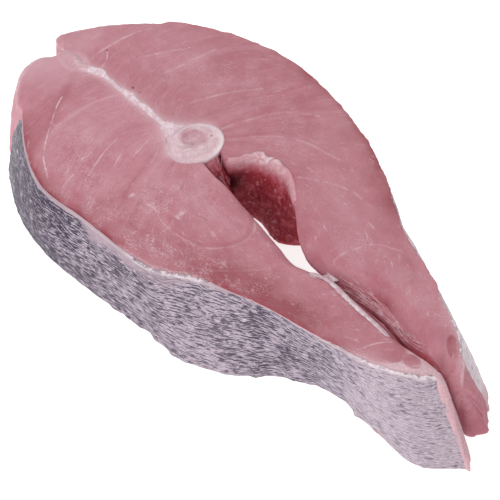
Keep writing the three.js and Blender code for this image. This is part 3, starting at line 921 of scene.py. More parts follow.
def nearest_sinew(side, flat):
    """How far points are from the nearest sinew's edge, and how strong that sinew is."""
    nearest, strength = np.full(len(flat), 3.0), np.zeros(len(flat))
    for half_width, share, line in SINEWS[side]:
        away = distance_to(flat, line) - half_width - SINEW_SPREAD
        strength = np.where(away < nearest, min(1, SINEW_BOOST * share), strength)
        nearest = np.minimum(nearest, away)
    return nearest, strength


def flow_of(side, points):
    """Where a point lies in the muscle's grain: from arc to arc, and along a fibre.
    The factors set how many bands and fibres the noises that read it give."""
    dx, dy = points[:, 0] - DISC["x"], side * (points[:, 1] - DISC["y"])
    reach = np.hypot(dx, dy)
    turn = np.degrees(np.arctan2(dy, dx))
    lean = 0.6 + 2.4 * ramp(turn, 55, 110)
    return np.stack([(turn + lean * reach) * 0.16, reach * 0.06, points[:, 2] * 0.3 + 7 * side], -1)


def marks_of(side, points, marks):
    """The numbers that the raw flesh's glazes read, for a side muscle's points."""
    flat = points[:, :2]
    x = flat[:, 0]
    along, across, up, from_skin = (marks[k] for k in ("along", "across", "up", "from_skin"))
    on_face = ramp(up, 0.8, 0.97)
    below = THICKNESS * (1 - up)
    wobble = 1 + 0.35 * rough_lumps(points * (1, 1, 0), 5, 61)
    bundle = np.min([oval_reach(flat, *oval) for oval in BUNDLES[side]], axis=0)
    beside_bone = 1 - ramp(along, BACK_SHARE - 0.09, BACK_SHARE - 0.03)
    beside_fin = 1 - ramp(oval_reach(flat, *FIN_SURROUND), 0.6, 1.15)
    pale = 0.8 * np.exp(-across / 2.2) * beside_bone + beside_fin + spots(flat, PALE_SPOTS[side])
    bare_back = (1 - on_face) * (1 - ramp(x, -74, -66)) * np.clip(0.55 * wobble, 0, 1)
    fat = fat_at_edges(side, x, along, from_skin, bundle * wobble**0.5, on_face)
    # The fat number here also carries the flecks' painted wet highlights.
    fat += (spots(flat, FAT_AND_GLINT_FLECKS) + 0.6 * np.exp(-across / 0.9) * beside_bone) * on_face
    at_wall = 1 - ramp(across, 0.8, 2.2)
    # Painted shade: the inner walls darken with depth below the rim towards the belly, and this
    # goes into the dark number.
    slit = at_wall * ramp(below, 1.5, 8.0) * ramp(x, 9, 16)
    slit *= 0.5 * (1 - ramp(x, 60, 80)) if side == LEFT else 0.55 - 0.5 * ramp(x, 36, 46)
    dark = dark_muscle(side, flat, across, from_skin, bundle)
    sinew, sinew_share = nearest_sinew(side, flat)
    speck = spots(flat, BLOOD_SPECKS)
    if side == LEFT:
        speck = speck + 0.35 * hill(distance_to(flat, NICK), 0, 0.25)
    return {
        "sinew": np.where(on_face > 0.2, sinew, 3.0),
        "sinew_share": sinew_share,
        "dark": np.clip(dark * wobble * (0.3 + 0.7 * on_face) + slit, 0, 1),
        "pale": np.maximum(np.clip(pale, 0, 1) * on_face, bare_back),
        # Painted light on the right flap's wall in the slit, just below its rim.
        "slit_wall_painted_light": (1 - ramp(across, 1.0, 3.5)) * ramp(below, 0.2, 2.0) * between(x, 34, 42, 72, 80),
        "fat": np.clip(fat, 0, 1),
        "cavity": np.clip(at_wall * ramp(below, 1.0, 4.0) * between(x, -20, -16, 7, 15), 0, 1),
        # The wet number places the painted glints of the cut face, with darker grains between them.
        "wet": glistening(side, flat) * on_face,
        "speck": on_face * speck,
        "on_face": on_face,
        "flow": flow_of(side, points),
    }


# %% [markdown]
# Each side muscle is wrapped round its nets: a point of the section is placed by its share
# across and up. Then come the relief of the cut face and the raggedness of the bare rims, the
# slit's walls and the flap's end. Where the skin lies, the wall steps in to make room for it.

# %% The side muscles
MUSCLE_CAP = 9


def muscle_points(side):
    """The muscle's points and how far along, across and up each is."""
    along = np.linspace(0, 1, STATIONS)
    nets = {level: relaxed_net(side, level, along) for level in ("rim", "foot")}
    width = np.linalg.norm(nets["rim"][:, -1] - nets["rim"][:, 0], axis=1)
    bare = 1 - ramp(along, skin_from(side, 1.0) - 0.03, skin_from(side, 1.0))
    on_belly = ramp(along, BACK_SHARE - 0.02, BACK_SHARE + 0.04)
    lip = LIP["back"] + (LIP["belly"] - LIP["back"]) * on_belly
    across, up = rounded_section(width, THICKNESS, lip, 0.3 + 1.5 * bare, (10, 16, ROWS, 22, 4))
    width = width[:, None]
    height = up / THICKNESS
    share = across / width
    flat = mix(read_net(nets["foot"], share), read_net(nets["rim"], share), height[..., None])
    from_start = along[:, None] - skin_from(side, height)
    to_end = skin_end(side, height) - along[:, None]
    covered = skin_cover(side, nets["rim"][:, -1, 0])[:, None] * ramp(height, 0.955, 0.985)
    depth = (SKIN_THICKNESS - 0.05) * ramp(from_start, -0.035, -0.012) * ramp(to_end, 0, 0.006)
    swell = WALL_BULGE * np.sin(np.pi * height) - depth * (1 - covered)
    near_outer = np.clip(1 - (width - across) / np.minimum(width, 6), 0, 1)
    out = outward(EDGES[side]["rim"]["outer"], along, side)
    flat = flat + out[:, None] * (swell * near_outer)[..., None]
    marks = {"along": np.broadcast_to(along[:, None], up.shape), "across": across, "up": height,
             "from_skin": width - across}
    return np.dstack([flat, up]), marks


def shape_muscle(side, places, marks):
    """Adds the relief of the cut face and the lumps of the walls."""
    points = places.reshape(-1, 3).copy()
    flat = points[:, :2].copy()
    x = flat[:, 0]
    along, across, height, from_skin = (
        marks[k].ravel() for k in ("along", "across", "up", "from_skin"))
    relief = face_relief(side, flat, across, from_skin)
    points[:, 2] += face_lift(height, relief, rolled_drop(side, x, across, from_skin))
    bare_rim = ramp(height, 0.7, 1.0) if side == RIGHT else 1 - ramp(x, -76, -71)
    uneven = 0.3 * rough_lumps(points, 5, 33) + 0.15 * rough_lumps(points, 1.4, 35)
    uneven *= (1 - ramp(from_skin, 0, 2.0)) * bare_rim
    out = outward(EDGES[side]["rim"]["outer"], marks["along"][:, 0], side)
    points[:, :2] += np.repeat(out, places.shape[1], axis=0) * uneven[:, None]
    wall = (1 - ramp(across, 0, 1.5)) * between(height, 0.02, 0.1, 0.9, 1.0)
    ragged = 0.55 * rough_lumps(points, 5, 31) + 0.2 * rough_lumps(points, 1.6, 41)
    points[:, 1] += side * wall * ramp(x, -20, -12) * np.abs(ragged)
    at_end = 0.7 * ramp(along, 0.955, 0.99)
    points[:, 0] += at_end * (rough_lumps(points, 2.6, 45) - (0.4 if side == LEFT else 0.0))
    low = 1 - ramp(height, 0.0, 0.02)
    points[:, 2] = np.maximum(points[:, 2], 0) + low * 0.12 * np.abs(lumps(points, 4, 51))
    return points.reshape(places.shape)


def padded(values, cap):
    """A number for each point of a loft, from one for each point of its rings."""
    values = np.asarray(values, float)
    head = np.repeat(values[:1], cap - 1, axis=0)
    tail = np.repeat(values[-1:], cap - 1, axis=0)
    flat = np.concatenate([head, values, tail]).ravel()
    return np.concatenate([flat, [values[0].mean(), values[-1].mean()]])


for side in (LEFT, RIGHT):
    name = "muscle_" + SIDE_NAME[side]
    places, marks = muscle_points(side)
    mesh, points = mesh_of(name, [loft(shape_muscle(side, places, marks), MUSCLE_CAP, dome=1.2)])
    marks = {key: padded(values, MUSCLE_CAP) for key, values in marks.items()}
    store(mesh, **marks_of(side, points, marks))
    finish_piece(name, mesh, FLESH, ["flesh_" + SIDE_NAME[side]])

# %% [markdown]
# The skin is a thin shell round each muscle: a strip one millimetre thick and as high as the
# slice. It could be a plane with a solidify modifier, but its edges matter here. The rim is
# torn and pale where the knife dragged, and the start and the foot are ragged, so the strip is
# lofted as the muscle is.

# %% The skins
SKIN_STATIONS = 640
SKIN_HEIGHT = 24.8
SKIN_FOOT = 0.05
SKIN_CAP = 3
LOOSE_SKIN = 59.0  # the X where a scrap of the left skin stands off at its foot


def on_line(values, y=0.0, z=0.0):
    """Points at X values on a line, to read lumps by a length."""
    return np.stack([values, np.full_like(values, y), np.full_like(values, z)], -1)


def torn_rim(side, x):
    """How ragged the skin's cut rim is."""
    if side == LEFT:
        return between(x, -12, -5, 9, 16) + 0.55 * ramp(x, 54, 62) + 0.25 * ramp(x, 18, 30)
    return 0.4 * hill(x, 42, 5) + 0.9 * ramp(x, 60, 68)


def skin_points(side):
    """The skin's points, the way out of the fish at each, and where in the sheet each is."""
    share = np.linspace(0, 1, SKIN_STATIONS)
    width = np.full(SKIN_STATIONS, SKIN_THICKNESS)
    across, up = rounded_section(width, SKIN_HEIGHT, 0.3, 0.35, (3, 46, 4, 8, 3))
    height = up / SKIN_HEIGHT
    starts = skin_from(side, height)
    along = starts + (skin_end(side, height) - starts) * share[:, None]
    foot, rim = (EDGES[side][level]["outer"] for level in ("foot", "rim"))
    flat = mix(foot(along), rim(along), height[..., None])
    out = [outward(curve, along.ravel(), side).reshape(flat.shape) for curve in (foot, rim)]
    normal = mix(*out, height[..., None])
    normal /= np.linalg.norm(normal, axis=-1)[..., None]
    depth = SKIN_THICKNESS - across
    flat = flat + normal * (WALL_BULGE * np.sin(np.pi * height) - depth)[..., None]
    length = np.linalg.norm(np.diff(rim(np.linspace(0, 1, 400)), axis=0), axis=1).sum()
    marks = {"height": height, "depth": depth, "round": along * length}
    return np.dstack([flat, SKIN_FOOT + up]), normal.reshape(-1, 2), marks


def shape_skin(side, places, normal, marks):
    """Adds the cut face's forms, the torn rim, the ragged foot and the sheet's own waves."""
    points = places.reshape(-1, 3).copy()
    height, depth, round_mm = (marks[k].ravel() for k in ("height", "depth", "round"))
    x = points[:, 0].copy()
    torn = torn_rim(side, x)
    wrapped = on_line(round_mm, z=5.0 * side)
    relief = face_relief(side, points[:, :2], np.full_like(x, FAR), np.zeros_like(x))
    points[:, 2] += face_lift(height, relief, tip_drop(side, x))
    points[:, 2] += ramp(height, 0.93, 1.0) * (
        (0.08 + 0.45 * torn) * rough_lumps(wrapped, 0.9, 71) + 0.15 * torn
        - 0.4 * skin_cover(side, x))
    points[:, 2] += 0.08 * np.abs(rough_lumps(wrapped, 3, 81)) * (1 - ramp(height, 0.0, 0.05))
    sheet = np.stack([round_mm, points[:, 2], np.full_like(x, 9.0 * side)], -1)
    wave = 0.28 * lumps(sheet, 9, 91) + 0.11 * rough_lumps(sheet * (0.5, 1, 1), 1.3, 95)
    ragged = 0.55 * lumps(wrapped, 11, 97) + 0.4 * rough_lumps(wrapped, 3, 99)
    if side == LEFT:
        ragged = ragged + 1.3 * hill(x, LOOSE_SKIN, 3.5)
    curl = 0.18 * (0.2 + torn) * ramp(height, 0.94, 1.0)
    curl = curl + np.maximum(ragged, -0.1) * (1 - ramp(height, 0.0, 0.3))
    outside = 1 - ramp(depth, 0.2, 0.9)
    points[:, :2] += normal * ((wave - 0.2) * outside + curl)[:, None]
    return points.reshape(places.shape)


def skin_marks(side, points, marks):
    """The numbers that the skin's glazes read."""
    height, depth, round_mm = (marks[k] for k in ("height", "depth", "round"))
    x = points[:, 0]
    wobble = rough_lumps(on_line(round_mm, z=3.0), 6, 101)
    torn = torn_rim(side, x)
    if side == LEFT:
        dark = 1.0 - 0.3 * ramp(x, -50, -20) - 0.22 * ramp(x, -10, 20) - 0.25 * ramp(x, 50, 66)
        dark += 0.2 * spot(points, 34, -24, 20, 9)
        strip = 0.2 * between(x, -37, -14, 0, 12) + 0.035 * ramp(x, 0, 12)
        bloody = 0.5 * (1 - ramp(height, 0.02, 0.08)) * ramp(x, 6, 20)
        bloody = bloody * np.clip(1.5 * wobble - 0.5, 0, 1)
    else:
        dark = 0.8 - 0.3 * ramp(x, -30, 40) - 0.1 * ramp(x, 58, 70)
        strip = np.full_like(x, 0.02)
        bloody = 0.9 * ramp(x, 72, 82) * (1 - ramp(height, 0.1, 0.5)) * (0.7 + 0.6 * wobble)
    strip = np.clip(strip * (1 + 0.5 * wobble), 0, 0.4)
    bare = 0.9 * ramp(height, 0.985 - strip, 1.0 - 0.4 * strip) * (strip > 0.01)
    at_rim = np.maximum(ramp(height, 0.975 - 0.015 * torn, 0.992), ramp(depth, 0.5, 0.9))
    scraped = 0.75 * ramp(x, 60, 70) * (side == RIGHT)
    return {
        "wrap": np.stack([round_mm, height * THICKNESS, np.full_like(x, 20.0 * side)], -1),
        "dark": np.clip(dark, 0, 1),
        "fleck": np.clip(0.4 + 0.75 * dark, 0, 1),
        "bare": bare * (1 - 0.35 * ramp(x, -9, 0)),
        "cut": np.clip(0.8 * ramp(height, 0.975, 0.99) + 0.6 * ramp(depth, 0.6, 1.0), 0, 1),
        "torn": np.maximum(np.clip(1.3 * torn, 0, 1) * at_rim, scraped),
        "bloody": np.clip(bloody, 0, 0.9),
    }


for side in (LEFT, RIGHT):
    name = "skin_sheet_" + SIDE_NAME[side]
    places, normal, marks = skin_points(side)
    mesh, points = mesh_of(name, [loft(shape_skin(side, places, normal, marks), SKIN_CAP, 0.3)])
    marks = {key: padded(values, SKIN_CAP) for key, values in marks.items()}
    store(mesh, **skin_marks(side, points, marks))
    finish_piece(name, mesh, SKIN, ["skin_" + SIDE_NAME[side]])

# %% [markdown]
# A fish's backbone is a row of discs, each hollowed to a cone at both ends. The knife went
# through one: a pale ring with a shallow pink dish. Rings of points that shrink towards the
# dish's own middle, which isn't the disc's, give both in one mesh. Its rim spreads a little over
# the flesh, as gristle does, so no dark gap is left between them.

# %% The backbone disc
DISH = {"x": -29.8, "y": 2.4, "length": 4.3, "width": 3.6, "turn": 40, "depth": 0.9}
DISC_MARKS = [(1, -26.8, 6.8, 0.35, 0.35), (1, -28.4, 0.7, 0.3, 0.3)]


def reach_of(points, piece):
    """How far points are from a piece's middle: 1 on its oval."""
    return oval_reach(points, piece["x"], piece["y"], piece["length"], piece["width"],
                      piece.get("turn", 0))


def turned(piece, profile, around, middle_shift, unevenness):
    """An oval disc. Its profile is (share of its radius, height), from under its middle to its
    top, where the rings slide towards a middle of their own."""
    angles = np.linspace(0, 2 * math.pi, around, endpoint=False)
    rings = []
    for share, z in profile:
        slide = (1 - ramp(share, 0.2, 1.0)) * ramp(z, THICKNESS * 0.5, THICKNESS * 0.9)
        rings.append(np.stack([
            piece["x"] + middle_shift[0] * slide + share * piece["length"] * np.cos(angles),
            piece["y"] + middle_shift[1] * slide + share * piece["width"] * np.sin(angles),
            np.full(around, float(z))], -1))
    rings = np.array(rings)
    points = rings.reshape(-1, 3)
    uneven = unevenness * rough_lumps(points, 2.5, 111) + broad_swell(points[:, :2])
    points[:, 2] += ramp(points[:, 2], 20, 24) * uneven
    return loft(points.reshape(rings.shape), 1)


def spreading_wall(spread, top):
    """The profile of a disc's underside and wall, whose rim spreads over its neighbours."""
    wall = [(0.25, 0), (0.5, 0), (0.75, 0), (0.93, 0), (1.0, 0.6)]
    wall += [(1.0, z) for z in np.linspace(2, top - 3.0, 9)]
    return wall + [(1 + spread * share, top - drop) for share, drop in
                   ((0.3, 2.0), (0.8, 1.2), (1.0, 0.75), (0.9, 0.4), (0.6, 0.15), (0.2, 0.0))]


def disc_profile():
    """The disc's wall, its raised ring and its dish."""
    top = []
    for share in np.linspace(0.97, 0.02, 36):
        ring = 0.22 * hill(share, 0.84, 0.12)
        dish = DISH["depth"] * (1 - float(ramp(share, 0.05, 0.58)))
        top.append((share, THICKNESS + ring - dish))
    return spreading_wall(0.05, THICKNESS) + top


dish_shift = (DISH["x"] - DISC["x"], DISH["y"] - DISC["y"])
mesh, points = mesh_of("backbone_disc", [turned(DISC, disc_profile(), 96, dish_shift, 0.16)])
on_top = ramp(points[:, 2], 20, 22)
rim, dish = reach_of(points, DISC), reach_of(points, DISH)
# The ring's rim is painted whiter on one side: a painted highlight.
painted_highlight_side = 0.1 + 0.9 * ramp(points[:, 1] + 0.5 * points[:, 0], -14, -8)
# The dish is pink, and painted darker towards its back edge, which is painted shade.
store(mesh,
      spot=(0.7 + 0.3 * ramp(points[:, 0], -28, -33)) * (1 - ramp(dish, 0.75, 1.15)) * on_top,
      edge=(hill(rim, 0.95, 0.1) * painted_highlight_side + 0.15 * hill(dish, 1.15, 0.12)) * on_top,
      mark=spots(points, DISC_MARKS) * on_top)
finish_piece("backbone_disc", mesh, BONE, ["vertebra"])

# %% [markdown]
# The bone plate above the backbone, and the fin's root at its end. The plate is a thin upright
# sheet that swells into knuckles and flares into an arch where it meets the disc. Gristle
# joins its other end to the fin's root, a soft nub level with the flesh.

# %% The bone plate and the fin's root
PLATE_LINE = {  # X, middle's Y and half its thickness, beside what the flesh follows
    "x": [-77, -75, -72, -69, -37.4, -34.3],
    "y": [-2.6, -2.6, -1.4, -0.05, 0, 0.3],
    "half": [0.9, 1.75, 1.75, 1.3, 2.64, 4.8],
}


def bone_plate():
    """The plate's loft, and how near its edges each point is. Its top spreads over the flesh."""
    x = np.linspace(PLATE_LINE["x"][0], PLATE_LINE["x"][-1], 210)
    followed = (x > PLATE["start"]) & (x < PLATE["end"])
    half = np.where(followed, plate_half(x), np.interp(x, PLATE_LINE["x"], PLATE_LINE["half"]))
    middle = np.where(followed, midline(x), np.interp(x, PLATE_LINE["x"], PLATE_LINE["y"]))
    top_half = half + 0.4 + 0.3 * np.abs(rough_lumps(on_line(x), 2.2, 121))
    across, up = rounded_section(2 * top_half, THICKNESS, 0.45, 0.45, (4, 14, 16, 14, 4))
    height = up / THICKNESS
    scale = half[:, None] + (top_half - half)[:, None] * ramp(height, 0.95, 0.985)
    offset = across / top_half[:, None] - 1
    y = middle[:, None] + offset * scale
    y = y + 0.3 * lumps(on_line(x, z=4.0), 4, 125)[:, None] * ramp(height, 0.9, 1.0)
    places = np.dstack([np.broadcast_to(x[:, None], y.shape), y, up])
    points = places.reshape(-1, 3)
    crown = 0.28 - 0.45 * np.abs(offset.ravel()) ** 3 - 0.4 * ramp(points[:, 0], -35.8, -34.4)
    points[:, 2] += ramp(height.ravel(), 0.8, 1.0) * (
        crown + 0.14 * rough_lumps(points, 1.6, 131) + broad_swell(points[:, :2]))
    return loft(points.reshape(places.shape), 4), padded(np.abs(offset), 4)


plate, plate_edge = bone_plate()
mesh, points = mesh_of("bone_plate", [plate])
store(mesh, edge=ramp(plate_edge, 0.55, 1.0), gristle=1 - ramp(points[:, 0], -75, -71.5))
finish_piece("bone_plate", mesh, PLATE_BONE, ["spine_plate"])

fin_top = [(share, THICKNESS + 0.5 * (1 - share**2)) for share in np.linspace(0.95, 0.03, 14)]
fin_profile = spreading_wall(0.2, THICKNESS) + fin_top
mesh, points = mesh_of("fin_root", [turned(FIN, fin_profile, 64, (0, 0), 0.2)])
store(mesh, edge=ramp(reach_of(points, FIN), 0.55, 0.95))
finish_piece("fin_root", mesh, CARTILAGE, ["fin_base"])

# %% [markdown]
# Under the backbone lies the kidney's dark blood tissue, a lumpy clot held between the two
# sides, with torn muscle strands that run from the disc down over it. Clots are irregular, so
# the strip is lofted and then pushed about by large lumps. A strand is a thin round thread
# along a smooth line of points.

# %% Blood tissue
CLOT = {"start": -21.6, "length": 11.1, "middle": (-15.5, 1.0, 9.0)}
CLOT_TOP = {"x": [-21.6, -19.5, -17, -14, -10.5], "z": [24.6, 24.0, 21.5, 15.0, 7.0]}
STRANDS = 6


def wall_y(side, x, height):
    """Y of a side's inner wall at an X, for points at a share of the height."""
    shares = np.linspace(BACK_SHARE, 1, 1500)
    rows = [EDGES[side][level]["inner"](shares) for level in ("foot", "rim")]
    return mix(*(np.interp(x, row[:, 0], row[:, 1]) for row in rows), height)


def strand(line, radius, seed, around=7):
    """A thread along a smooth line of points, thinner at its ends and a little uneven."""
    share = np.linspace(0, 1, 40)
    middle = smooth_curve(line)(share)
    ahead = np.gradient(middle, axis=0)
    ahead /= np.linalg.norm(ahead, axis=1)[:, None]
    level = np.cross(ahead, (0, 0, 1.0))
    level /= np.linalg.norm(level, axis=1)[:, None]
    upright = np.cross(level, ahead)
    angles = np.linspace(0, 2 * math.pi, around, endpoint=False)[None, :, None]
    girth = radius * (0.35 + 0.65 * np.sin(np.pi * share) ** 0.5)
    girth = girth * (1 + 0.3 * lumps(on_line(share * 9), 1, seed))
    spokes = level[:, None] * np.cos(angles) + upright[:, None] * np.sin(angles)
    return loft(middle[:, None] + girth[:, None, None] * spokes, 2)


def clot():
    """A lumpy strip between the two walls, that falls away from the backbone."""
    x = (CLOT["start"] + CLOT["length"] * np.linspace(0, 1, 70))[:, None]
    t = np.linspace(0, 2 * math.pi, 80, endpoint=False)
    squared_up, squared_on = (np.sign(v) * np.abs(v) ** 0.5 for v in (np.sin(t), np.cos(t)))
    z = 0.3 + (np.interp(x, CLOT_TOP["x"], CLOT_TOP["z"]) - 0.3) * (0.5 + 0.5 * squared_up)
    height = np.clip(z / THICKNESS, 0, 1)
    low = wall_y(LEFT, x, height) - 0.15
    right_wall = np.maximum(wall_y(RIGHT, x, height), np.interp(x, [-21.1, -18.4], [5.0, 3.6]))
    high = np.where(x < -15.5, right_wall + 0.15, np.minimum(right_wall - 0.3, low + 6.5))
    y = low + (high - low) * (0.5 - 0.5 * squared_on)
    places = np.dstack([np.broadcast_to(x, y.shape), y, z])
    points = places.reshape(-1, 3)
    away = points - np.array([CLOT["middle"]])
    away /= np.linalg.norm(away, axis=1)[:, None]
    points += (0.5 * rough_lumps(points * (0.6, 1, 1), 2.6, 141))[:, None] * away
    points[:, 2] = np.maximum(points[:, 2], 0.2)
    return loft(points.reshape(places.shape), 4)


def torn_strands():
    """Threads that start under the disc and hang down over the clot."""
    draw = np.random.default_rng(7)
    strands = []
    for k in range(STRANDS):
        y = -2.0 + 6.4 * draw.random()
        end = -18.0 + 5.0 * draw.random()
        fall = 1.5 + 4.5 * draw.random()
        sway = draw.uniform(-0.9, 0.9, 3)
        strands.append(strand([
            (-21.3, y, 24.5), (-19.8, y - 0.3 + 0.4 * sway[0], 24.0 - 0.5 * draw.random()),
            (-18.2, y - 0.9 + sway[1], 23.2 - 0.4 * fall), (end, y - 1.6 + sway[2], 22.0 - fall)],
            0.22 + 0.35 * draw.random(), k))
    return strands


clot_points, clot_faces = clot()
mesh, points = mesh_of("blood_tissue", [(clot_points, clot_faces), *torn_strands()])
is_strand = np.arange(len(points)) >= len(clot_points)
store(mesh, pale=np.where(is_strand, 0.75, 0.6 * (1 - ramp(points[:, 0], -20.0, -16.5))))
finish_piece("blood_tissue", mesh, BLOOD, ["blood_strip"])

# %% [markdown]
# Thin membranes line the cavity and the belly slit. Each is draped like a cloth: up the inner
# wall, round the flesh's soft lip and a little way over the cut face, where its torn edge
# shows white. A path is drawn up the wall and over the lip, and the sheet is lofted along it.

# %% Membranes
SHEET_STATIONS = 160
SHEET_ROWS = 46


def draped_sheet(side, start, end, low, overlap, thickness, pleat, seed):
    """A sheet on a side's inner wall from one X to another. Overlap, at each share of its
    length, is how far it lies over the cut face. Returns its loft and how near the rim it is."""
    inner = {level: EDGES[side][level]["inner"] for level in ("rim", "foot")}
    along = np.linspace(*(share_at(inner["rim"], x, BACK_SHARE) for x in (start, end)),
                        SHEET_STATIONS)
    share = np.linspace(0, 1, SHEET_STATIONS)
    ragged = rough_lumps(on_line(np.linspace(0, abs(end - start), SHEET_STATIONS)), 2.0, seed)
    over = np.maximum(0.15, np.interp(share, *zip(*overlap)) * (1 + 0.4 * ragged))
    # the path goes up the wall, round the lip and over the face, then back under the sheet
    lip = LIP["belly"]
    round_lip = math.pi / 2 * lip
    wall = THICKNESS - lip - low
    whole = wall + round_lip + over
    way = np.linspace(0, 1, SHEET_ROWS)
    trip = np.concatenate([way, way[::-1][1:-1]])
    is_outer = np.arange(len(trip)) < SHEET_ROWS
    distance = trip[None, :] * whole[:, None]
    thin = 1 - 0.75 * ramp(distance, (whole - 0.9)[:, None], whole[:, None])
    thin = thin * (0.35 + 0.65 * ramp(trip, 0, 0.06))
    thick_part = between(share, 0, 0.06, 0.9, 1)[:, None]
    off = np.where(is_outer, thickness * thin * (0.15 + 0.85 * thick_part), -0.12)
    turn = np.clip((distance - wall) / lip, 0, math.pi / 2)
    beyond = np.maximum(distance - wall - round_lip, 0)
    back = np.where(distance > wall, -lip + (lip + off) * np.cos(turn), off) - beyond
    z = np.where(distance > wall, THICKNESS - lip + (lip + off) * np.sin(turn), low + distance)
    height = np.clip(z / THICKNESS, 0, 1)
    edge = mix(inner["foot"](along)[:, None], inner["rim"](along)[:, None], height[..., None])
    ahead = np.gradient(edge, axis=0)
    ahead /= np.linalg.norm(ahead, axis=-1)[..., None]
    off_wall = np.stack([ahead[..., 1], -ahead[..., 0]], -1) * side
    points = np.dstack([edge + off_wall * back[..., None], z]).reshape(-1, 3)
    turn, across = turn.ravel(), np.maximum(-back.ravel(), 0)
    pleats = pleat * np.abs(rough_lumps(points * (1, 1, 0.3), 2.4, seed + 3))
    pleats = pleats * np.tile(is_outer, SHEET_STATIONS) * (1 - 0.7 * ramp(turn, 0, 1.2))
    pleats = pleats * np.repeat(thick_part, trip.size)
    points[:, :2] += off_wall.reshape(-1, 2) * (pleats * (turn < 1.2))[:, None]
    relief = face_relief(side, points[:, :2], across, np.full(len(points), FAR))
    drop = rolled_drop(side, points[:, 0], across)
    points[:, 2] += face_lift(height.ravel(), relief, drop) + 0.4 * pleats
    near_rim = 1 - ramp(wall - distance, -1.2, 4.5)
    return loft(points.reshape(SHEET_STATIONS, -1, 3), 2), padded(near_rim, 2)


# A painted shadow: the near-black patch in the deep pocket by the clot.
HOLLOW_SHADOW = {"oval": (-15.2, 4.4, 2.8, 3.2), "z": 17.0, "reach": 4.0}  # the dark pocket by the clot
WHITE_EDGE = (-8.5, 12, 5.5, 5)
MEMBRANES = [  # name, side, start, end, low end, overlap at shares, thickness, pleats, ...
    ("lining_sheet_left", LEFT, 28, 58, 9,
     ((0, 0.9), (0.15, 0.5), (0.5, 0.7), (0.8, 0.4), (1, 0.2)),
     0.35, 0.1, MEMBRANE, "lining_left"),
    ("lining_sheet_right", RIGHT, -17.6, 8, 1.0,
     ((0, 0.1), (0.15, 0.5), (0.3, 1.7), (0.45, 1.0), (0.7, 0.4), (1, 0.2)),
     0.4, 0.35, CAVITY_LINING, "lining_right"),
]
for name, side, *shape, material, node in MEMBRANES:
    part, near_rim = draped_sheet(side, *shape, 151 + 10 * side)
    mesh, points = mesh_of(name, [part])
    store(mesh, rim=near_rim, white=ramp(near_rim, 0.9, 1.0) * spot(points, *WHITE_EDGE),
          hollow=spot(points, *HOLLOW_SHADOW["oval"]) * hill(points[:, 2], HOLLOW_SHADOW["z"], HOLLOW_SHADOW["reach"]))
    finish_piece(name, mesh, material, [node])

# %% [markdown]
# Loose ends in the slit. A scrap of membrane still bridges it where the two flaps part. Fine
# pale threads of it were drawn out along the right flap as the belly was opened, on its face
# and down the slit's wall. Each is a strand that starts and ends at a seeded place.

# %% The bridge and the threads of the slit
BRIDGE_X = 31.4
FACE_THREADS = 26
WALL_THREADS = 30


def beside_slit(side, x, across):
    """A point on a side's cut face, so far in from its inner rim."""
    x, across = np.broadcast_arrays(np.asarray(x, float), np.asarray(across, float))
    y = wall_y(side, x, 1.0) + side * across
    relief = face_relief(side, np.stack([x, y], -1), across, np.full(len(x), FAR))
    inside_lip = np.clip(LIP["belly"] - across, 0, LIP["belly"])
    fall = LIP["belly"] - np.sqrt(LIP["belly"] ** 2 - inside_lip**2)
    return np.stack([x, y, THICKNESS + relief - rolled_drop(side, x, across) - fall], -1)


def slit_bridge():
    """A thin film that sags between the flaps, narrower in its middle."""
    share = np.linspace(0, 1, 40)
    borders = []
    for half_x, run in ((-1, 0), (1, 1)):
        x = BRIDGE_X + half_x * (2.2 - 0.9 * np.sin(np.pi * share)) + 0.6 * (share - 0.5)
        line = mix(beside_slit(LEFT, x, 1.8), beside_slit(RIGHT, x + 0.8, 1.6), share[:, None])
        line[:, 0] += 0.35 * rough_lumps(on_line(share * 6, z=run), 1.2, 171 + run)
        line[:, 2] += 0.25 - 0.9 * np.sin(np.pi * share)
        borders.append(line[:, None])
    over = np.linspace(0, 1, 26)[None, :, None]
    top = mix(*borders, over)
    top[..., 2] += 0.18 * rough_lumps(top.reshape(-1, 3), 1.3, 175).reshape(top.shape[:2])
    thickness = 0.35 * np.sin(np.pi * np.clip(over, 0.04, 0.96))
    under = top - np.array([0, 0, 1.0]) * thickness
    return loft(np.concatenate([top, under[:, ::-1][:, 1:-1]], axis=1), 2)


def slit_threads():
    """Threads along the right flap: on its face first, then down its wall."""
    draw = np.random.default_rng(11)
    threads = []
    for k in range(FACE_THREADS):
        start, end = 33 + 16 * draw.random(), 52 + 16 * draw.random()
        first, last = 0.2 + 2.8 * draw.random(), 0.2 + 2.4 * draw.random()
        x = np.linspace(start, end, 7)
        across = np.linspace(first, last, 7) + 0.3 * draw.uniform(-1, 1, 7)
        line = beside_slit(RIGHT, x, np.maximum(across, 0.15))
        line[:, 2] += 0.05 + 0.25 * np.sin(np.linspace(0, np.pi, 7)) * draw.random()
        threads.append(strand(line, 0.08 + 0.08 * draw.random(), 20 + k))
    for k in range(WALL_THREADS):
        x = np.linspace(35 + 20 * draw.random(), 56 + 14 * draw.random(), 7)
        height = np.linspace(0.62 + 0.34 * draw.random(), 0.55 + 0.35 * draw.random(), 7)
        y = wall_y(RIGHT, x, height) - 0.3 - 0.5 * draw.random()
        z = height * (THICKNESS - rolled_drop(RIGHT, x, 0 * x))
        threads.append(strand(np.stack([x, y, z], -1), 0.12 + 0.16 * draw.random(), 60 + k))
    return threads


mesh, points = mesh_of("slit_bridge", [slit_bridge()])
finish_piece("slit_bridge", mesh, MEMBRANE)
mesh, points = mesh_of("slit_threads", slit_threads())
# The lower threads get painted light.
store(mesh, deep=1 - ramp(points[:, 2], 15, 20))
finish_piece("slit_threads", mesh, THREADS)

# %% [markdown]
# The stage: a light table, as for catalogue pictures of food. Its opal sheet glows a little from
# below, so shadows stay pale, and two large lamps give soft light: one on the side of the
# window, one behind that skims the wet face. The camera looks down at 50 degrees from 45 cm.

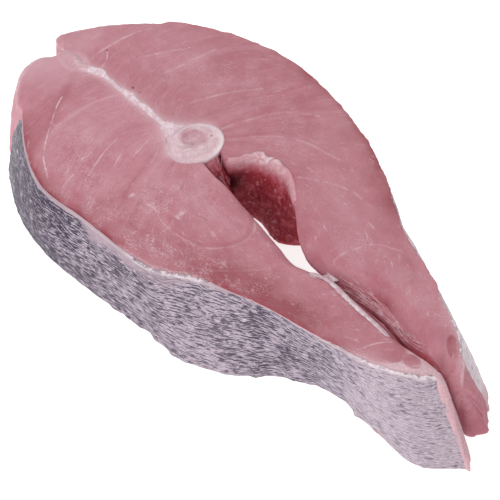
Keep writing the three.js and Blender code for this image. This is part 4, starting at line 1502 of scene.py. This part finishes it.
# %% Floor, light and camera
FLOOR_HALF = 3.0
LAMPS = [  # name, azimuth, elevation, distance and size in metres, power in watts
    ("window light", 5, 38, 0.9, 0.7, 4.4),
    ("back light", 218, 50, 0.9, 0.45, 2.2),
]
CAMERA = {"azimuth": 47.0, "elevation": 50.0, "distance": 450.0, "target": (4.3, -7.0, 12.0),
          "sensor": 36.0, "lens": 115.02}

floor_mesh = bpy.data.meshes.new("floor")
floor_mesh.from_pydata([(x * FLOOR_HALF, y * FLOOR_HALF, 0)
                        for x, y in ((-1, -1), (1, -1), (1, 1), (-1, 1))], [], [(0, 1, 2, 3)])
acrylic, tree = new_material("opal acrylic sheet, lit from below")
shader = add_node(tree, "BsdfPrincipled", {
    "Base Color": linear("#c8c8c8"), "Roughness": 0.9, "Emission Color": linear("#ffffff"),
    "Emission Strength": 0.8})
add_node(tree, "OutputMaterial", {"Surface": shader})
floor_mesh.materials.append(acrylic)
floor = bpy.data.objects.new("floor", floor_mesh)
floor.location.z = -0.0002
bpy.context.scene.collection.objects.link(floor)

world = bpy.data.worlds.new("studio")
world.use_nodes = True
background = world.node_tree.nodes["Background"]
background.inputs["Color"].default_value = linear("#ffffff")
background.inputs["Strength"].default_value = 0.5
bpy.context.scene.world = world
bpy.context.scene.view_settings.view_transform = "Standard"


def direction(azimuth, elevation):
    """A unit vector towards an azimuth, counted from the front, and an elevation."""
    a, e = math.radians(azimuth), math.radians(elevation)
    return np.array([math.sin(a) * math.cos(e), -math.cos(a) * math.cos(e), math.sin(e)])


def aim(thing, place, target):
    """Puts a lamp or the camera at a place and turns it to a target."""
    thing.location = place
    thing.rotation_mode = "QUATERNION"
    thing.rotation_quaternion = (Vector(target) - Vector(place)).to_track_quat("-Z", "Y")
    bpy.context.scene.collection.objects.link(thing)


for name, azimuth, elevation, distance, size, power in LAMPS:
    lamp = bpy.data.lights.new(name, "AREA")
    lamp.size = size
    lamp.energy = power
    aim(bpy.data.objects.new(name, lamp), direction(azimuth, elevation) * distance, (0, 0, 0.01))

lens = bpy.data.cameras.new("camera")
lens.sensor_width = CAMERA["sensor"]
lens.lens = CAMERA["lens"]
lens.clip_start = 0.01
target = (np.array(CAMERA["target"]) + SHIFT) * MM
camera_place = direction(CAMERA["azimuth"], CAMERA["elevation"]) * CAMERA["distance"] * MM
camera = bpy.data.objects.new("camera", lens)
aim(camera, target + camera_place, target)
bpy.context.scene.camera = camera
print("camera at", [round(v, 3) for v in camera.location])
